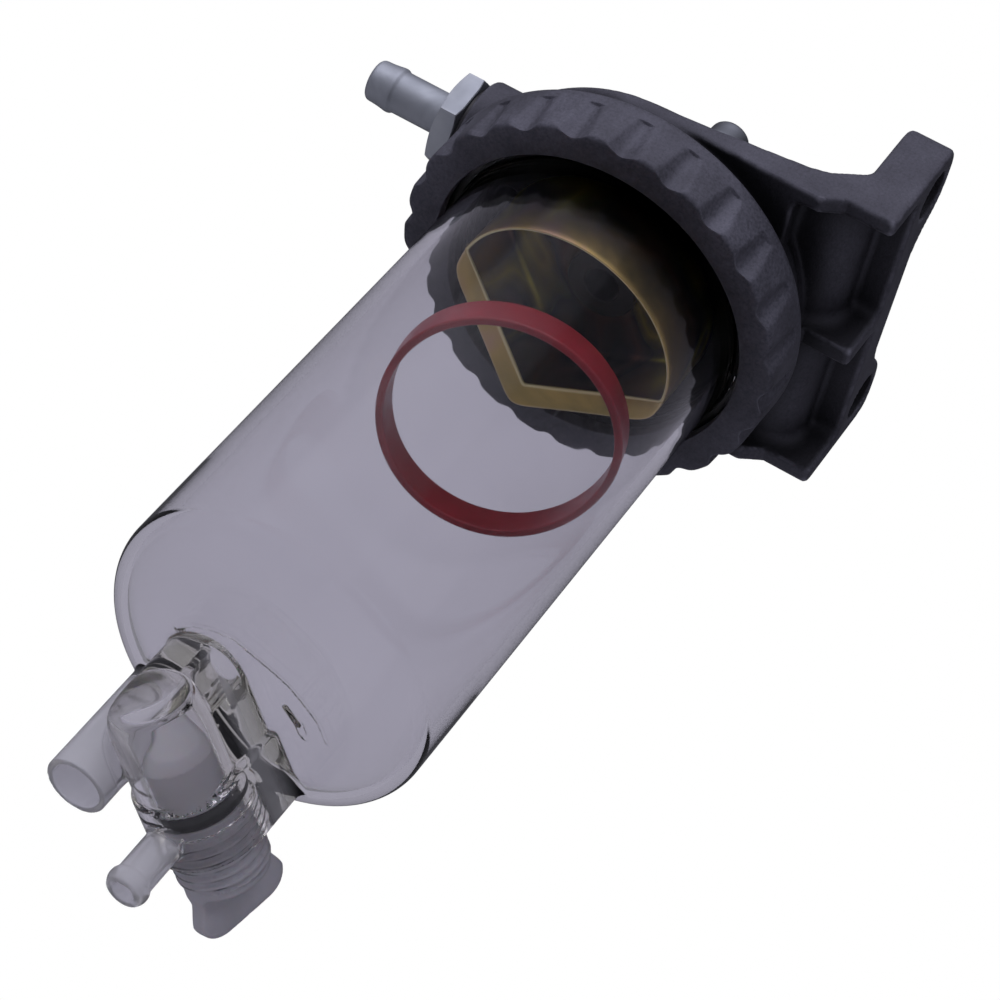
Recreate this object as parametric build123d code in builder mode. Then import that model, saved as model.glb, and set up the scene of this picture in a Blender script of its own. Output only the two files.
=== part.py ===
"""Fuel water separator with a clear screw-on bowl, a float ring and a drain plug.

Frame: the origin is the middle of the two mounting bolts on the mounting face,
+Y goes into the wall and +Z goes up along the bowl's axis. Lengths are in mm.
Heights called z below are measured from the ring nut's lower face.
"""
import os
from math import cos, radians, sin

from build123d import *

os.makedirs("parts", exist_ok=True)

# Where the bowl's axis and the ring nut stand from the mounting bolts
axis_y = -51.3
nut_z = -45.0

# Fits, all radial or end clearances
thread_gap = 0.08
face_gap = 0.05
free_gap = 0.4

# Mounting bracket
bolt_spacing = 60.0
bolt_hole_r = 5.5
ear_rim = 9.0
plate_half = bolt_spacing / 2 + ear_rim
plate_bottom = 19.0
plate_top = 23.0
plate_round = 2.5
rise_round = 1.5
foot_start = 36.0
rise_start = 0.8
rise_middle = 3.4
rise_end = 9.5
wall_front = 40.7
ear_top = 52.5
ear_inner = 17.0
ear_round = 4.5
shelf_top = 44.5
shelf_bottom = 35.5
gusset_foot = 22.4
gusset_thick = 4.4
recess_y = 44.5
recess_round = 8.0
recess_roof = 24.5
recess_front = 31.0

# Bowl
bowl_r = 33.5
bowl_wall = 2.5
bowl_floor = 2.7
bowl_bottom = -124.0
shoulder_wide = 11.5
shoulder_tall = 9.0
flange_rim = 5.1
flange_r = bowl_r + flange_rim
flange_thick = 3.5
seal_thick = 1.5

# Head, passages and the threaded neck
neck_r = flange_r - 0.6
neck_bottom = 8.5
neck_wall = 4.5
thread_depth = 1.0
thread_r = neck_r + thread_depth
thread_pitch = 2.0
plate_r = thread_r
cavity_r = neck_r - neck_wall
cavity_top = 16.0
dome_rim = 7.0
dome_base = 21.0
dome_height = 17.5
spigot_r = 11.0
spigot_bottom = 9.0
boss_r = 12.0
inlet_z = 31.0
inlet_seat_y = -44.5
inlet_boss_end = -20.0
outlet_seat_z = 41.0
passage_r = 4.0
tapping_r = 7.0
tapping_depth = 11.0
inlet_drop_y = -29.0

# Ring nut
nut_thread_r = thread_r + thread_gap
nut_wall = 4.22
nut_r = nut_thread_r + nut_wall
nut_height = 14.5
nut_ledge = 3.5
nut_bore_gap = 2.2
nut_bore_r = bowl_r + nut_bore_gap
flute_count = 24
flute_width = 9.4
flute_depth = 1.9
flute_end_depth = 0.6
flute_end_z = 10.5

# Drain, moulded under the bowl; u runs out along its axis towards the plug
drain_turn = 61.0
drain_offset = 8.0
drain_drop = 14.1
drain_z = bowl_bottom - drain_drop
block_r = 11.3
block_back = -1.0
block_front = 11.0
ledge_thick = 5.6
ledge_bottom = bowl_bottom - ledge_thick
ledge_end = 25.5
ledge_inset = 4.5
ledge_reach_r = bowl_r - ledge_inset
socket_r = 10.8
socket_end = 25.0
drain_bore_r = 7.2
seal_bore_r = 8.0
seal_bore_start = 13.0
drain_thread_r = 9.0
drain_thread_start = 18.5
drain_pitch = 2.0
floor_hole_r = 3.2
spout_u = 17.6
spout_r = 3.65
spout_bore_r = 2.2
spout_bead = 0.5
spout_bead_length = 2.2
spout_length = 23.9
spout_tip = drain_z - spout_length
tube_u = 5.0
tube_across = 14.0
tube_r = 6.3
tube_bore_r = 5.0
tube_length = 27.0
tube_mouth = bowl_bottom - tube_length
tube_roof_thick = 2.0
tube_roof = bowl_bottom - tube_roof_thick

# Drain plug and its seal
plug_nose = 3.0
plug_end = 34.0
seal_u = 15.8
seal_cord_r = 1.1
wing_half = 11.6
wing_end = 44.5
wing_thick = 3.6
wing_tilt = 12.0

# Baffle cup of sheet metal
sheet = 1.0
cup_r = 25.5
cup_bottom = -12.2
cup_top = spigot_bottom
vee_turn = 194.1
vee_angle = 97.2
vee_inner = 17.6
vee_band = 6.4
rivet_r = 5.0
rivet_rim = 3.0
rivet_head = 1.2
rivet_shank = 8.0

# Float ring
float_r = 25.25
float_wall = 1.7
float_height = 7.5
float_z = -35.0
float_tilt = 19.0
float_lean = 226.0
float_side = 164.0

# Hose fittings
hex_across = 20.0
hex_thick = 5.0
washer_thick = 1.4
washer_inset = 0.4
washer_r = hex_across / 2 - washer_inset
inlet_hex_turn = -10.9
outlet_hex_turn = 0.0
hose_r = 4.75
hose_root = 0.5
hose_length = 19.3
barb_r = 5.2
barb_count = 1
barb_length = 5.9
barb_land = 1.0
hose_bore_r = 3.2

bowl_axis = Axis((0, axis_y, 0), (0, 0, 1))
section = Plane(origin=(0, axis_y, nut_z), x_dir=(1, 0, 0), z_dir=(0, -1, 0))
side = Plane(origin=(0, axis_y, nut_z), x_dir=(0, 1, 0), z_dir=(1, 0, 0))
mount_face = Plane(origin=(0, 0, nut_z), x_dir=(1, 0, 0), z_dir=(0, -1, 0))
inlet_seat = Plane(
    origin=(0, axis_y + inlet_seat_y, nut_z + inlet_z), x_dir=(1, 0, 0), z_dir=(0, -1, 0)
)
outlet_seat = Plane(origin=(0, axis_y, nut_z + outlet_seat_z), x_dir=(1, 0, 0), z_dir=(0, 0, 1))

drain_out = Vector(-sin(radians(drain_turn)), cos(radians(drain_turn)), 0)
drain_side_way = Vector(cos(radians(drain_turn)), sin(radians(drain_turn)), 0)
drain_centre = Vector(0, axis_y, nut_z + drain_z) - drain_side_way * drain_offset
drain_axis = Axis(drain_centre, drain_out)
drain_side = Plane(origin=drain_centre, x_dir=drain_out, z_dir=drain_side_way)
drain_across = Plane(origin=drain_centre, x_dir=-drain_side_way, z_dir=drain_out)


def level(z):
    """A horizontal plane on the bowl's axis, at a height over the nut's lower face."""
    return Plane(origin=(0, axis_y, nut_z + z))


def drain_level(z):
    """A horizontal plane on the drain's centre, its x along the drain's axis."""
    return Plane(origin=(drain_centre.X, drain_centre.Y, nut_z + z), x_dir=drain_out, z_dir=(0, 0, 1))


# Bracket body, its rising sides rounded before it joins the head
with BuildPart() as bracket:
    with BuildSketch(side.offset(-plate_half)):
        with BuildLine():
            Line((0, plate_bottom), (0, plate_top))
            Spline(
                (0, plate_top), (wall_front / 4, plate_top + rise_start),
                (wall_front * 0.74, plate_top + rise_middle), (wall_front, plate_top + rise_end),
            )
            Polyline(
                (wall_front, plate_top + rise_end), (wall_front, shelf_top), (-axis_y, shelf_top),
                (-axis_y, gusset_foot), (wall_front, gusset_foot), (foot_start, plate_bottom),
                (0, plate_bottom),
            )
        make_face()
    extrude(amount=2 * plate_half)
    fillet(bracket.faces().filter_by(GeomType.PLANE, reverse=True).edges().filter_by(GeomType.BSPLINE), rise_round)

# Head casting: plate, bracket, neck and the two bosses in one piece
ear_rise = ear_top - shelf_top
with BuildPart() as head_casting:
    with BuildSketch(section):
        with BuildLine():
            Line((0, plate_top), (0, plate_bottom))
            Line((0, plate_bottom), (plate_r, plate_bottom))
            Line((plate_r, plate_bottom), (plate_r, plate_top - plate_round))
            RadiusArc(
                (plate_r, plate_top - plate_round), (plate_r - plate_round, plate_top), -plate_round
            )
            Line((plate_r - plate_round, plate_top), (0, plate_top))
        make_face()
    revolve(axis=bowl_axis)
    add(bracket.part)
    # The two ears stand up from the shelf at the mounting face
    with BuildSketch(mount_face) as ears:
        with BuildLine():
            Polyline(
                (-plate_half, shelf_bottom), (-plate_half, ear_top), (-ear_inner - ear_rise, ear_top),
                (-ear_inner, shelf_top), (ear_inner, shelf_top), (ear_inner + ear_rise, ear_top),
                (plate_half, ear_top), (plate_half, shelf_bottom), close=True,
            )
        make_face()
        fillet(ears.vertices().filter_by_position(Axis.Y, shelf_top - 0.1, ear_top), radius=ear_round)
    extrude(amount=-axis_y - wall_front)
    # Two recesses between the three gussets, open behind and below
    recess_width = plate_half - gusset_thick * 1.5
    for recess_x in (-plate_half + gusset_thick, gusset_thick / 2):
        with BuildSketch(side.offset(recess_x)):
            with BuildLine():
                Line((-axis_y + 1, 10), (-axis_y + 1, shelf_bottom))
                Line((-axis_y + 1, shelf_bottom), (recess_y, shelf_bottom))
                Line((recess_y, shelf_bottom), (recess_y, recess_roof + recess_round))
                RadiusArc(
                    (recess_y, recess_roof + recess_round),
                    (recess_y - recess_round, recess_roof),
                    recess_round,
                )
                Line((recess_y - recess_round, recess_roof), (recess_front, recess_roof))
                Line((recess_front, recess_roof), (recess_front, 10))
                Line((recess_front, 10), (-axis_y + 1, 10))
            make_face()
        extrude(amount=recess_width, mode=Mode.SUBTRACT)
    # Neck with its outside thread, and the dome that joins the two bosses
    with BuildSketch(level(neck_bottom)):
        Circle(neck_r)
    extrude(amount=plate_top - 1 - neck_bottom)
    with BuildSketch(level(plate_bottom)):
        Circle(neck_r)
        with Locations((0, recess_front - 1)):
            Rectangle(2 * neck_r, neck_r, align=(Align.CENTER, Align.MIN), mode=Mode.INTERSECT)
    extrude(amount=recess_roof + 1 - plate_bottom)
    for ring in range(3):
        ring_z = neck_bottom + 1.2 + ring * thread_pitch
        with BuildSketch(section):
            with BuildLine():
                Polyline(
                    (neck_r - 1, ring_z - 0.8), (neck_r, ring_z - 0.8), (thread_r, ring_z - 0.2),
                    (thread_r, ring_z + 0.2), (neck_r, ring_z + 0.8), (neck_r - 1, ring_z + 0.8),
                    close=True,
                )
            make_face()
        revolve(axis=bowl_axis)
    dome_r = neck_r - dome_rim
    with BuildSketch(section):
        with BuildLine():
            Line((0, dome_base), (dome_r, dome_base))
            EllipticalCenterArc((0, dome_base), dome_r, dome_height, start_angle=0, arc_size=90)
            Line((0, dome_base + dome_height), (0, dome_base))
        make_face()
    revolve(axis=bowl_axis)
    with BuildSketch(outlet_seat):
        Circle(boss_r)
    extrude(amount=dome_base - outlet_seat_z)
    with BuildSketch(inlet_seat):
        Circle(boss_r)
    extrude(amount=inlet_seat_y - inlet_boss_end)
    with Locations((0, axis_y + inlet_boss_end, nut_z + inlet_z)):
        Sphere(boss_r)
    # Hollow under the plate, with the spigot that carries the baffle cup
    with BuildSketch(level(neck_bottom)):
        Circle(cavity_r)
    extrude(amount=cavity_top - neck_bottom, mode=Mode.SUBTRACT)
    with BuildSketch(level(spigot_bottom)):
        Circle(spigot_r)
    extrude(amount=cavity_top - spigot_bottom)
    # Fuel passages: out through the middle, in through the front boss and down
    with BuildSketch(outlet_seat):
        Circle(passage_r)
    extrude(amount=spigot_bottom - outlet_seat_z - 1, mode=Mode.SUBTRACT)
    with BuildSketch(outlet_seat):
        Circle(tapping_r)
    extrude(amount=-tapping_depth, mode=Mode.SUBTRACT)
    with BuildSketch(level(spigot_bottom)):
        Circle(rivet_r)
    extrude(amount=rivet_shank, mode=Mode.SUBTRACT)
    with BuildSketch(inlet_seat):
        Circle(passage_r)
    extrude(amount=inlet_seat_y - inlet_drop_y - passage_r, mode=Mode.SUBTRACT)
    with BuildSketch(inlet_seat):
        Circle(tapping_r)
    extrude(amount=-tapping_depth, mode=Mode.SUBTRACT)
    with BuildSketch(level(cavity_top - 1)):
        with Locations((0, inlet_drop_y)):
            Circle(passage_r)
    extrude(amount=inlet_z - cavity_top + 1, mode=Mode.SUBTRACT)
    # Bolt holes through the ears
    with BuildSketch(Plane(origin=(0, 0, 0), x_dir=(1, 0, 0), z_dir=(0, -1, 0))):
        with GridLocations(bolt_spacing, 1, 2, 1):
            Circle(bolt_hole_r)
    extrude(amount=20, mode=Mode.SUBTRACT)
head_casting.part.label = "head_casting"
export_step(head_casting.part, "parts/head_casting.step")

# Ring nut: a ledge under the bowl's flange, a plain thread bore and fluted sides
with BuildPart() as ring_nut:
    with BuildSketch(section):
        with BuildLine():
            Polyline(
                (nut_bore_r, 0.6), (nut_bore_r + 0.6, 0), (nut_r - 0.8, 0), (nut_r, 0.8),
                (nut_r, nut_height - 1.6), (nut_r - 0.5, nut_height - 0.5),
                (nut_r - 1.6, nut_height), (nut_thread_r + 0.8, nut_height),
                (nut_thread_r, nut_height - 0.8), (nut_thread_r, nut_ledge - face_gap),
                (nut_bore_r, nut_ledge - face_gap), close=True,
            )
        make_face()
    revolve(axis=bowl_axis)
    # Each flute is a soft wave cut with a lean, so that it narrows and stops short of the top
    lean = (flute_depth - flute_end_depth) / flute_end_z
    wave = flute_width / 2
    for flute in range(flute_count):
        turn = radians(360 / flute_count * flute)
        outward = Vector(cos(turn), sin(turn), 0)
        run = outward * lean + Vector(0, 0, 1)
        foot = Vector(0, axis_y, nut_z) + outward * nut_r - run
        with BuildSketch(Plane(origin=foot, x_dir=(sin(turn), -cos(turn), 0), z_dir=run)):
            with BuildLine():
                Spline(
                    (-wave, 0), (-wave / 2, -flute_depth / 2), (0, -flute_depth),
                    (wave / 2, -flute_depth / 2), (wave, 0), tangents=((1, 0), (1, 0)),
                )
                Polyline((wave, 0), (wave, flute_depth), (-wave, flute_depth), (-wave, 0))
            make_face()
        extrude(amount=flute_end_z + 1, mode=Mode.SUBTRACT)
    for groove in range(4):
        groove_z = nut_ledge + 2.8 + groove * thread_pitch
        with BuildSketch(section):
            with BuildLine():
                Polyline(
                    (nut_thread_r - 0.1, groove_z - 0.6), (nut_thread_r + 0.6, groove_z),
                    (nut_thread_r - 0.1, groove_z + 0.6), close=True,
                )
            make_face()
        revolve(axis=bowl_axis, mode=Mode.SUBTRACT)
ring_nut.part.label = "ring_nut"
export_step(ring_nut.part, "parts/ring_nut.step")

# Clear bowl with the drain's block, socket, spout and side tube moulded on
flange_bottom = nut_ledge
flange_top = flange_bottom + flange_thick
inner_r = bowl_r - bowl_wall
floor_z = bowl_bottom + bowl_floor
with BuildPart() as bowl:
    with BuildSketch(section):
        with BuildLine():
            Line((0, bowl_bottom), (bowl_r - shoulder_wide, bowl_bottom))
            EllipticalCenterArc(
                (bowl_r - shoulder_wide, bowl_bottom + shoulder_tall),
                shoulder_wide, shoulder_tall, start_angle=270, arc_size=90,
            )
            Polyline(
                (bowl_r, bowl_bottom + shoulder_tall), (bowl_r, flange_bottom - 1),
                (bowl_r + 1, flange_bottom), (flange_r, flange_bottom), (flange_r, flange_top),
                (0, flange_top), (0, bowl_bottom),
            )
        make_face()
    revolve(axis=bowl_axis)
    # Block: an arch across the drain's axis with a round back end
    block_tail = block_back - block_r
    with BuildSketch(drain_across.offset(block_tail)):
        Circle(block_r)
        Rectangle(2 * block_r, bowl_bottom + 1 - drain_z, align=(Align.CENTER, Align.MIN))
    extrude(amount=block_front - block_tail)
    with BuildSketch(drain_level(bowl_bottom)):
        with Locations((block_tail - 1, 0)):
            Rectangle(block_r + 1, 2 * block_r + 2, align=(Align.MIN, Align.CENTER))
        with Locations((block_back, 0)):
            Circle(block_r, mode=Mode.SUBTRACT)
    extrude(amount=-30, mode=Mode.SUBTRACT)
    # Ledge over the socket, kept inside the bowl's outline
    with BuildSketch(drain_level(ledge_bottom)):
        with Locations((block_front - 1, 0)):
            Rectangle(ledge_end - block_front + 1, 2 * block_r, align=(Align.MIN, Align.CENTER))
        with Locations((0, -drain_offset)):
            Circle(ledge_reach_r, mode=Mode.INTERSECT)
    extrude(amount=bowl_bottom + 2.4 - ledge_bottom)
    with BuildSketch(drain_across.offset(block_front - 1)):
        Circle(socket_r)
    extrude(amount=socket_end - block_front + 1)
    # Spout with a bead at its tip, and the open side tube
    with BuildSketch(drain_level(spout_tip)):
        with Locations((spout_u, 0)):
            Circle(spout_r)
    extrude(amount=drain_z - spout_tip)
    with BuildSketch(drain_level(spout_tip + 1)):
        with Locations((spout_u, 0)):
            Circle(spout_r + spout_bead)
    extrude(amount=spout_bead_length)
    with BuildSketch(drain_level(tube_mouth)):
        with Locations((tube_u, tube_across)):
            Circle(tube_r)
    extrude(amount=bowl_bottom + 1.5 - tube_mouth)
    # Inside of the bowl
    with BuildSketch(section):
        with BuildLine():
            Line((0, floor_z), (inner_r - shoulder_wide + 2, floor_z))
            EllipticalCenterArc(
                (inner_r - shoulder_wide + 2, floor_z + shoulder_tall - 2),
                shoulder_wide - 2, shoulder_tall - 2, start_angle=270, arc_size=90,
            )
            Polyline(
                (inner_r, floor_z + shoulder_tall - 2), (inner_r, flange_top + 1),
                (0, flange_top + 1), (0, floor_z),
            )
        make_face()
    revolve(axis=bowl_axis, mode=Mode.SUBTRACT)
    # Drain bores: floor hole, plug bore in steps, spout and side tube
    with BuildSketch(drain_level(drain_z)):
        with Locations((block_back, 0)):
            Circle(floor_hole_r)
    extrude(amount=floor_z + 1 - drain_z, mode=Mode.SUBTRACT)
    bore_steps = (
        (block_tail + 4.5, drain_bore_r),
        (seal_bore_start, seal_bore_r),
        (drain_thread_start, drain_thread_r + thread_gap),
    )
    for step_start, step_r in bore_steps:
        with BuildSketch(drain_across.offset(step_start)):
            Circle(step_r)
        extrude(amount=socket_end - step_start + 1, mode=Mode.SUBTRACT)
    with BuildSketch(drain_level(spout_tip - 1)):
        with Locations((spout_u, 0)):
            Circle(spout_bore_r)
    extrude(amount=drain_z - spout_tip + 1, mode=Mode.SUBTRACT)
    with BuildSketch(drain_level(tube_mouth - 1)):
        with Locations((tube_u, tube_across)):
            Circle(tube_bore_r)
    extrude(amount=tube_roof - tube_mouth + 1, mode=Mode.SUBTRACT)
bowl.part.label = "bowl"
export_step(bowl.part, "parts/bowl.step")

# Flat seal between the bowl's flange and the neck
with BuildPart() as bowl_seal:
    with BuildSketch(level(flange_top + face_gap)):
        Circle(neck_r - 0.2)
        Circle(cavity_r + 0.3, mode=Mode.SUBTRACT)
    extrude(amount=seal_thick - face_gap)
bowl_seal.part.label = "bowl_seal"
export_step(bowl_seal.part, "parts/bowl_seal.step")


def vee(tip):
    """Corners of the wedge whose tip stands that far from the bowl's axis."""
    reach = 80
    turn = radians(vee_turn)
    arms = [turn + radians(180 + way * vee_angle / 2) for way in (1, -1)]
    start = (tip * cos(turn), tip * sin(turn))
    return [start] + [(start[0] + reach * cos(arm), start[1] + reach * sin(arm)) for arm in arms]


# Baffle cup: round with two flats, and a vee-shaped lip along the flats below
half_vee = sin(radians(vee_angle / 2))
vee_outer = vee_inner + vee_band / half_vee
with BuildPart() as baffle_cup:
    with BuildSketch(level(cup_bottom)):
        Circle(cup_r)
        Polygon(*vee(vee_outer), align=None, mode=Mode.INTERSECT)
    extrude(amount=cup_top - cup_bottom)
    with BuildSketch(level(cup_bottom + sheet)):
        Circle(cup_r - sheet)
        Polygon(*vee(vee_outer - sheet / half_vee), align=None, mode=Mode.INTERSECT)
    extrude(amount=cup_top - cup_bottom - 2 * sheet, mode=Mode.SUBTRACT)
    with BuildSketch(level(cup_bottom)):
        Circle(cup_r - sheet)
        Polygon(*vee(vee_inner), align=None, mode=Mode.INTERSECT)
    extrude(amount=sheet, mode=Mode.SUBTRACT)
    with BuildSketch(level(cup_top)):
        Circle(rivet_r)
    extrude(amount=-sheet, mode=Mode.SUBTRACT)
baffle_cup.part.label = "baffle_cup"
export_step(baffle_cup.part, "parts/baffle_cup.step")

# Hollow rivet that holds the cup and lets the fuel out
with BuildPart() as cup_rivet:
    with BuildSketch(level(cup_top - sheet)):
        Circle(rivet_r)
    extrude(amount=rivet_shank)
    with BuildSketch(level(cup_top - sheet)):
        Circle(rivet_r + rivet_rim)
    extrude(amount=-rivet_head)
    with BuildSketch(level(cup_top - sheet - rivet_head)):
        Circle(passage_r)
    extrude(amount=rivet_head + rivet_shank + 1, mode=Mode.SUBTRACT)
cup_rivet.part.label = "cup_rivet"
export_step(cup_rivet.part, "parts/cup_rivet.step")

# Float ring, leaning against the bowl's wall
lean_way = radians(float_lean)
float_up = Vector(
    sin(radians(float_tilt)) * cos(lean_way),
    sin(radians(float_tilt)) * sin(lean_way),
    cos(radians(float_tilt)),
)
float_shift = inner_r - float_r - 0.34
float_centre = Vector(
    float_shift * cos(radians(float_side)),
    axis_y + float_shift * sin(radians(float_side)),
    nut_z + float_z,
)
float_plane = Plane(origin=float_centre, z_dir=float_up)
with BuildPart() as float_ring:
    with BuildSketch(float_plane.offset(-float_height / 2)):
        Circle(float_r)
        Circle(float_r - float_wall, mode=Mode.SUBTRACT)
    extrude(amount=float_height)
    chamfer(float_ring.edges(), length=0.4)
float_ring.part.label = "float_ring"
export_step(float_ring.part, "parts/float_ring.step")

# Drain plug: nose, seal groove, thread and a flat wing to turn it by
seal_r = seal_bore_r - face_gap - seal_cord_r
groove_r = seal_r - seal_cord_r - face_gap
groove_half = seal_cord_r + 0.15
land_r = seal_bore_r - thread_gap
root_r = drain_thread_r - 0.9
with BuildPart() as drain_plug:
    with BuildSketch(drain_side):
        with BuildLine():
            Polyline(
                (plug_nose, 0), (plug_nose, 4.6), (plug_nose + 1.8, drain_bore_r - free_gap),
                (seal_u - groove_half, drain_bore_r - free_gap), (seal_u - groove_half, groove_r),
                (seal_u + groove_half, groove_r), (seal_u + groove_half, land_r),
                (drain_thread_start, land_r), (drain_thread_start, root_r),
                (plug_end - 1, root_r), (plug_end, root_r - 1), (plug_end, 0), close=True,
            )
        make_face()
    revolve(axis=drain_axis)
    ridge_count = int((plug_end - 2 - drain_thread_start) / drain_pitch)
    for ridge in range(ridge_count):
        ridge_u = drain_thread_start + 1.2 + ridge * drain_pitch
        with BuildSketch(drain_side):
            with BuildLine():
                Polyline(
                    (ridge_u - 0.8, root_r - 0.5), (ridge_u - 0.8, root_r),
                    (ridge_u - 0.25, drain_thread_r), (ridge_u + 0.25, drain_thread_r),
                    (ridge_u + 0.8, root_r), (ridge_u + 0.8, root_r - 0.5), close=True,
                )
            make_face()
        revolve(axis=drain_axis)
    wing_plane = drain_side.rotated((-wing_tilt, 0, 0)).offset(-wing_thick / 2)
    with BuildSketch(wing_plane) as wing:
        with BuildLine():
            Polyline(
                (plug_end - 5, -6), (plug_end - 1, -root_r), (plug_end + 4, -wing_half),
                (wing_end, -wing_half), (wing_end, wing_half), (plug_end + 4, wing_half),
                (plug_end - 1, root_r), (plug_end - 5, 6), close=True,
            )
        make_face()
        fillet(wing.vertices().group_by(Axis.X)[-1], radius=4)
        fillet(wing.vertices().filter_by_position(Axis.X, plug_end + 3.9, plug_end + 4.1), radius=3)
    extrude(amount=wing_thick)
drain_plug.part.label = "drain_plug"
export_step(drain_plug.part, "parts/drain_plug.step")

with BuildPart() as drain_seal:
    with BuildSketch(drain_side):
        with Locations((seal_u, seal_r)):
            Circle(seal_cord_r)
    revolve(axis=drain_axis)
drain_seal.part.label = "drain_seal"
export_step(drain_seal.part, "parts/drain_seal.step")


def hose_fitting(seat, hex_turn):
    """A hexagon fitting with a barbed hose end, turned as it was tightened."""
    hex_start = washer_thick
    hex_end = washer_thick + hex_thick
    up = seat.z_dir
    turn_axis = Axis(seat.origin, up)
    profile = Plane(origin=seat.origin, x_dir=seat.x_dir, z_dir=seat.x_dir.cross(up))
    corner_r = hex_across / 2 / cos(radians(30))
    with BuildPart() as fitting:
        with BuildSketch(seat.offset(hex_start)):
            RegularPolygon(hex_across / 2, side_count=6, major_radius=False, rotation=30 + hex_turn)
        extrude(amount=hex_thick)
        with BuildSketch(profile):
            with BuildLine():
                Polyline(
                    (0, hex_start), (corner_r - 0.9, hex_start), (corner_r, hex_start + 0.5),
                    (corner_r, hex_end - 0.9), (corner_r - 1.6, hex_end), (0, hex_end), close=True,
                )
            make_face()
        revolve(axis=turn_axis, mode=Mode.INTERSECT)
        with BuildSketch(seat.offset(hex_start)):
            Circle(tapping_r - face_gap)
        extrude(amount=-tapping_depth + 1)
        tip = hex_end + hose_length
        barb_foot = tip - barb_count * barb_length - 0.5
        with BuildSketch(profile):
            with BuildLine():
                root_r = hose_r + hose_root
                points = [(0, hex_end - 1), (root_r, hex_end - 1), (root_r, hex_end + 0.6)]
                points += [(hose_r, hex_end + 1.8), (hose_r, barb_foot)]
                for barb in range(barb_count):
                    start = barb_foot + barb * barb_length
                    points += [(barb_r, start + 0.3), (barb_r, start + 0.3 + barb_land)]
                    points += [(hose_r + 0.05, start + barb_length)]
                points += [(hose_r - 0.3, tip - 0.2), (hose_r - 0.9, tip), (0, tip)]
                Polyline(*points, close=True)
            make_face()
        revolve(axis=turn_axis)
        with BuildSketch(seat.offset(tip)):
            Circle(hose_bore_r)
        extrude(amount=-tip - tapping_depth, mode=Mode.SUBTRACT)
    return fitting.part


def sealing_washer(seat):
    """The flat washer between a fitting and its seat."""
    with BuildPart() as washer:
        with BuildSketch(seat):
            Circle(washer_r)
            Circle(tapping_r + 0.2, mode=Mode.SUBTRACT)
        extrude(amount=washer_thick)
    return washer.part


ports = (("inlet", inlet_seat, inlet_hex_turn), ("outlet", outlet_seat, outlet_hex_turn))
for port, seat, hex_turn in ports:
    fitting = hose_fitting(seat, hex_turn)
    fitting.label = f"{port}_fitting"
    export_step(fitting, f"parts/{port}_fitting.step")
    washer = sealing_washer(seat)
    washer.label = f"{port}_washer"
    export_step(washer, f"parts/{port}_washer.step")
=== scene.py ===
"""Look of a fuel water separator with a clear bowl, built round its CAD frame.

Shapes are worked out in millimetres in the bowl's own frame, with z = 0 at the ring
nut's lower face and +Z up the bowl's axis, and are written to meshes in metres.
"""
import logging
import math
from dataclasses import dataclass, field
from enum import Enum
from typing import Callable, Protocol, Sequence

import bmesh
import bpy
import numpy as np
from mathutils import Matrix, Vector


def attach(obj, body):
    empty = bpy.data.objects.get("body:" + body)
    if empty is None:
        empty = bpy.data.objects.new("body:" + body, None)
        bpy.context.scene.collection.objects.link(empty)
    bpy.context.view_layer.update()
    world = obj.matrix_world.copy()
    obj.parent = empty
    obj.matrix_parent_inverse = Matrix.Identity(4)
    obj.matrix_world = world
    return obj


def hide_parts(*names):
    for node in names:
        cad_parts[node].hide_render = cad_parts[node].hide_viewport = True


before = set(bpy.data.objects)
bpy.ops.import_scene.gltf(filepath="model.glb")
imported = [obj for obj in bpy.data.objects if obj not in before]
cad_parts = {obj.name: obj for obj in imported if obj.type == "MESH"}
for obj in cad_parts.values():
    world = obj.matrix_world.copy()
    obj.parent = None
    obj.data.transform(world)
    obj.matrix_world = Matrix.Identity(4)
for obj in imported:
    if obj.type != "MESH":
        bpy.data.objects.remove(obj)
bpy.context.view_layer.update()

log = logging.getLogger("separator")

SHIFT = np.array([0.0, -51.3, -45.0])
MM = 0.001

Array = np.ndarray
Field = Callable[[Array], Array]
Pair = tuple[float, float]
Triple = tuple[float, float, float]
Colour = tuple[float, float, float]
Faces = list[tuple[int, ...]]
Socket = bpy.types.NodeSocket


class Body(Enum):
    """The CAD bodies that the pieces move with."""

    HEAD = "head"
    BOWL = "bowl"
    NUT = "ring_nut"
    FLOAT = "float"
    SEAL = "drain_seal"
    PLUG = "drain_plug"


class Slot(Enum):
    """The material slots that the pieces belong to."""

    CAST = "cast_aluminium"
    ZINC = "zinc_steel"
    YELLOW = "yellow_zinc"
    CLEAR = "clear_plastic"
    FROSTED = "frosted_plastic"
    RED = "red_plastic"
    RUBBER = "black_rubber"
    WASHER = "copper_washer"


# Frames


def to_row(points: Array) -> Array:
    """Turn bowl-frame millimetres into row-frame metres."""
    return (points + SHIFT) * MM


@dataclass
class Turning:
    """An axis in the bowl frame that outlines are spun about."""

    origin: Triple = (0.0, 0.0, 0.0)
    along: Triple = (0.0, 0.0, 1.0)
    start: Triple = (1.0, 0.0, 0.0)

    def place(self, radius: float, angle: float, height: float) -> Array:
        """The point at a radius, angle and height about this axis."""
        w = np.array(self.along)
        u = np.array(self.start)
        v = np.cross(w, u)
        out = u * math.cos(angle) + v * math.sin(angle)
        return np.array(self.origin) + out * radius + w * height

    def matrix(self) -> Matrix:
        """The placing matrix in row-frame metres."""
        w = np.array(self.along)
        u = np.array(self.start)
        v = np.cross(w, u)
        o = to_row(np.array(self.origin))
        return Matrix([[u[n], v[n], w[n], o[n]] for n in range(3)] + [[0, 0, 0, 1]])


BOWL_AXIS = Turning()


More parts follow.
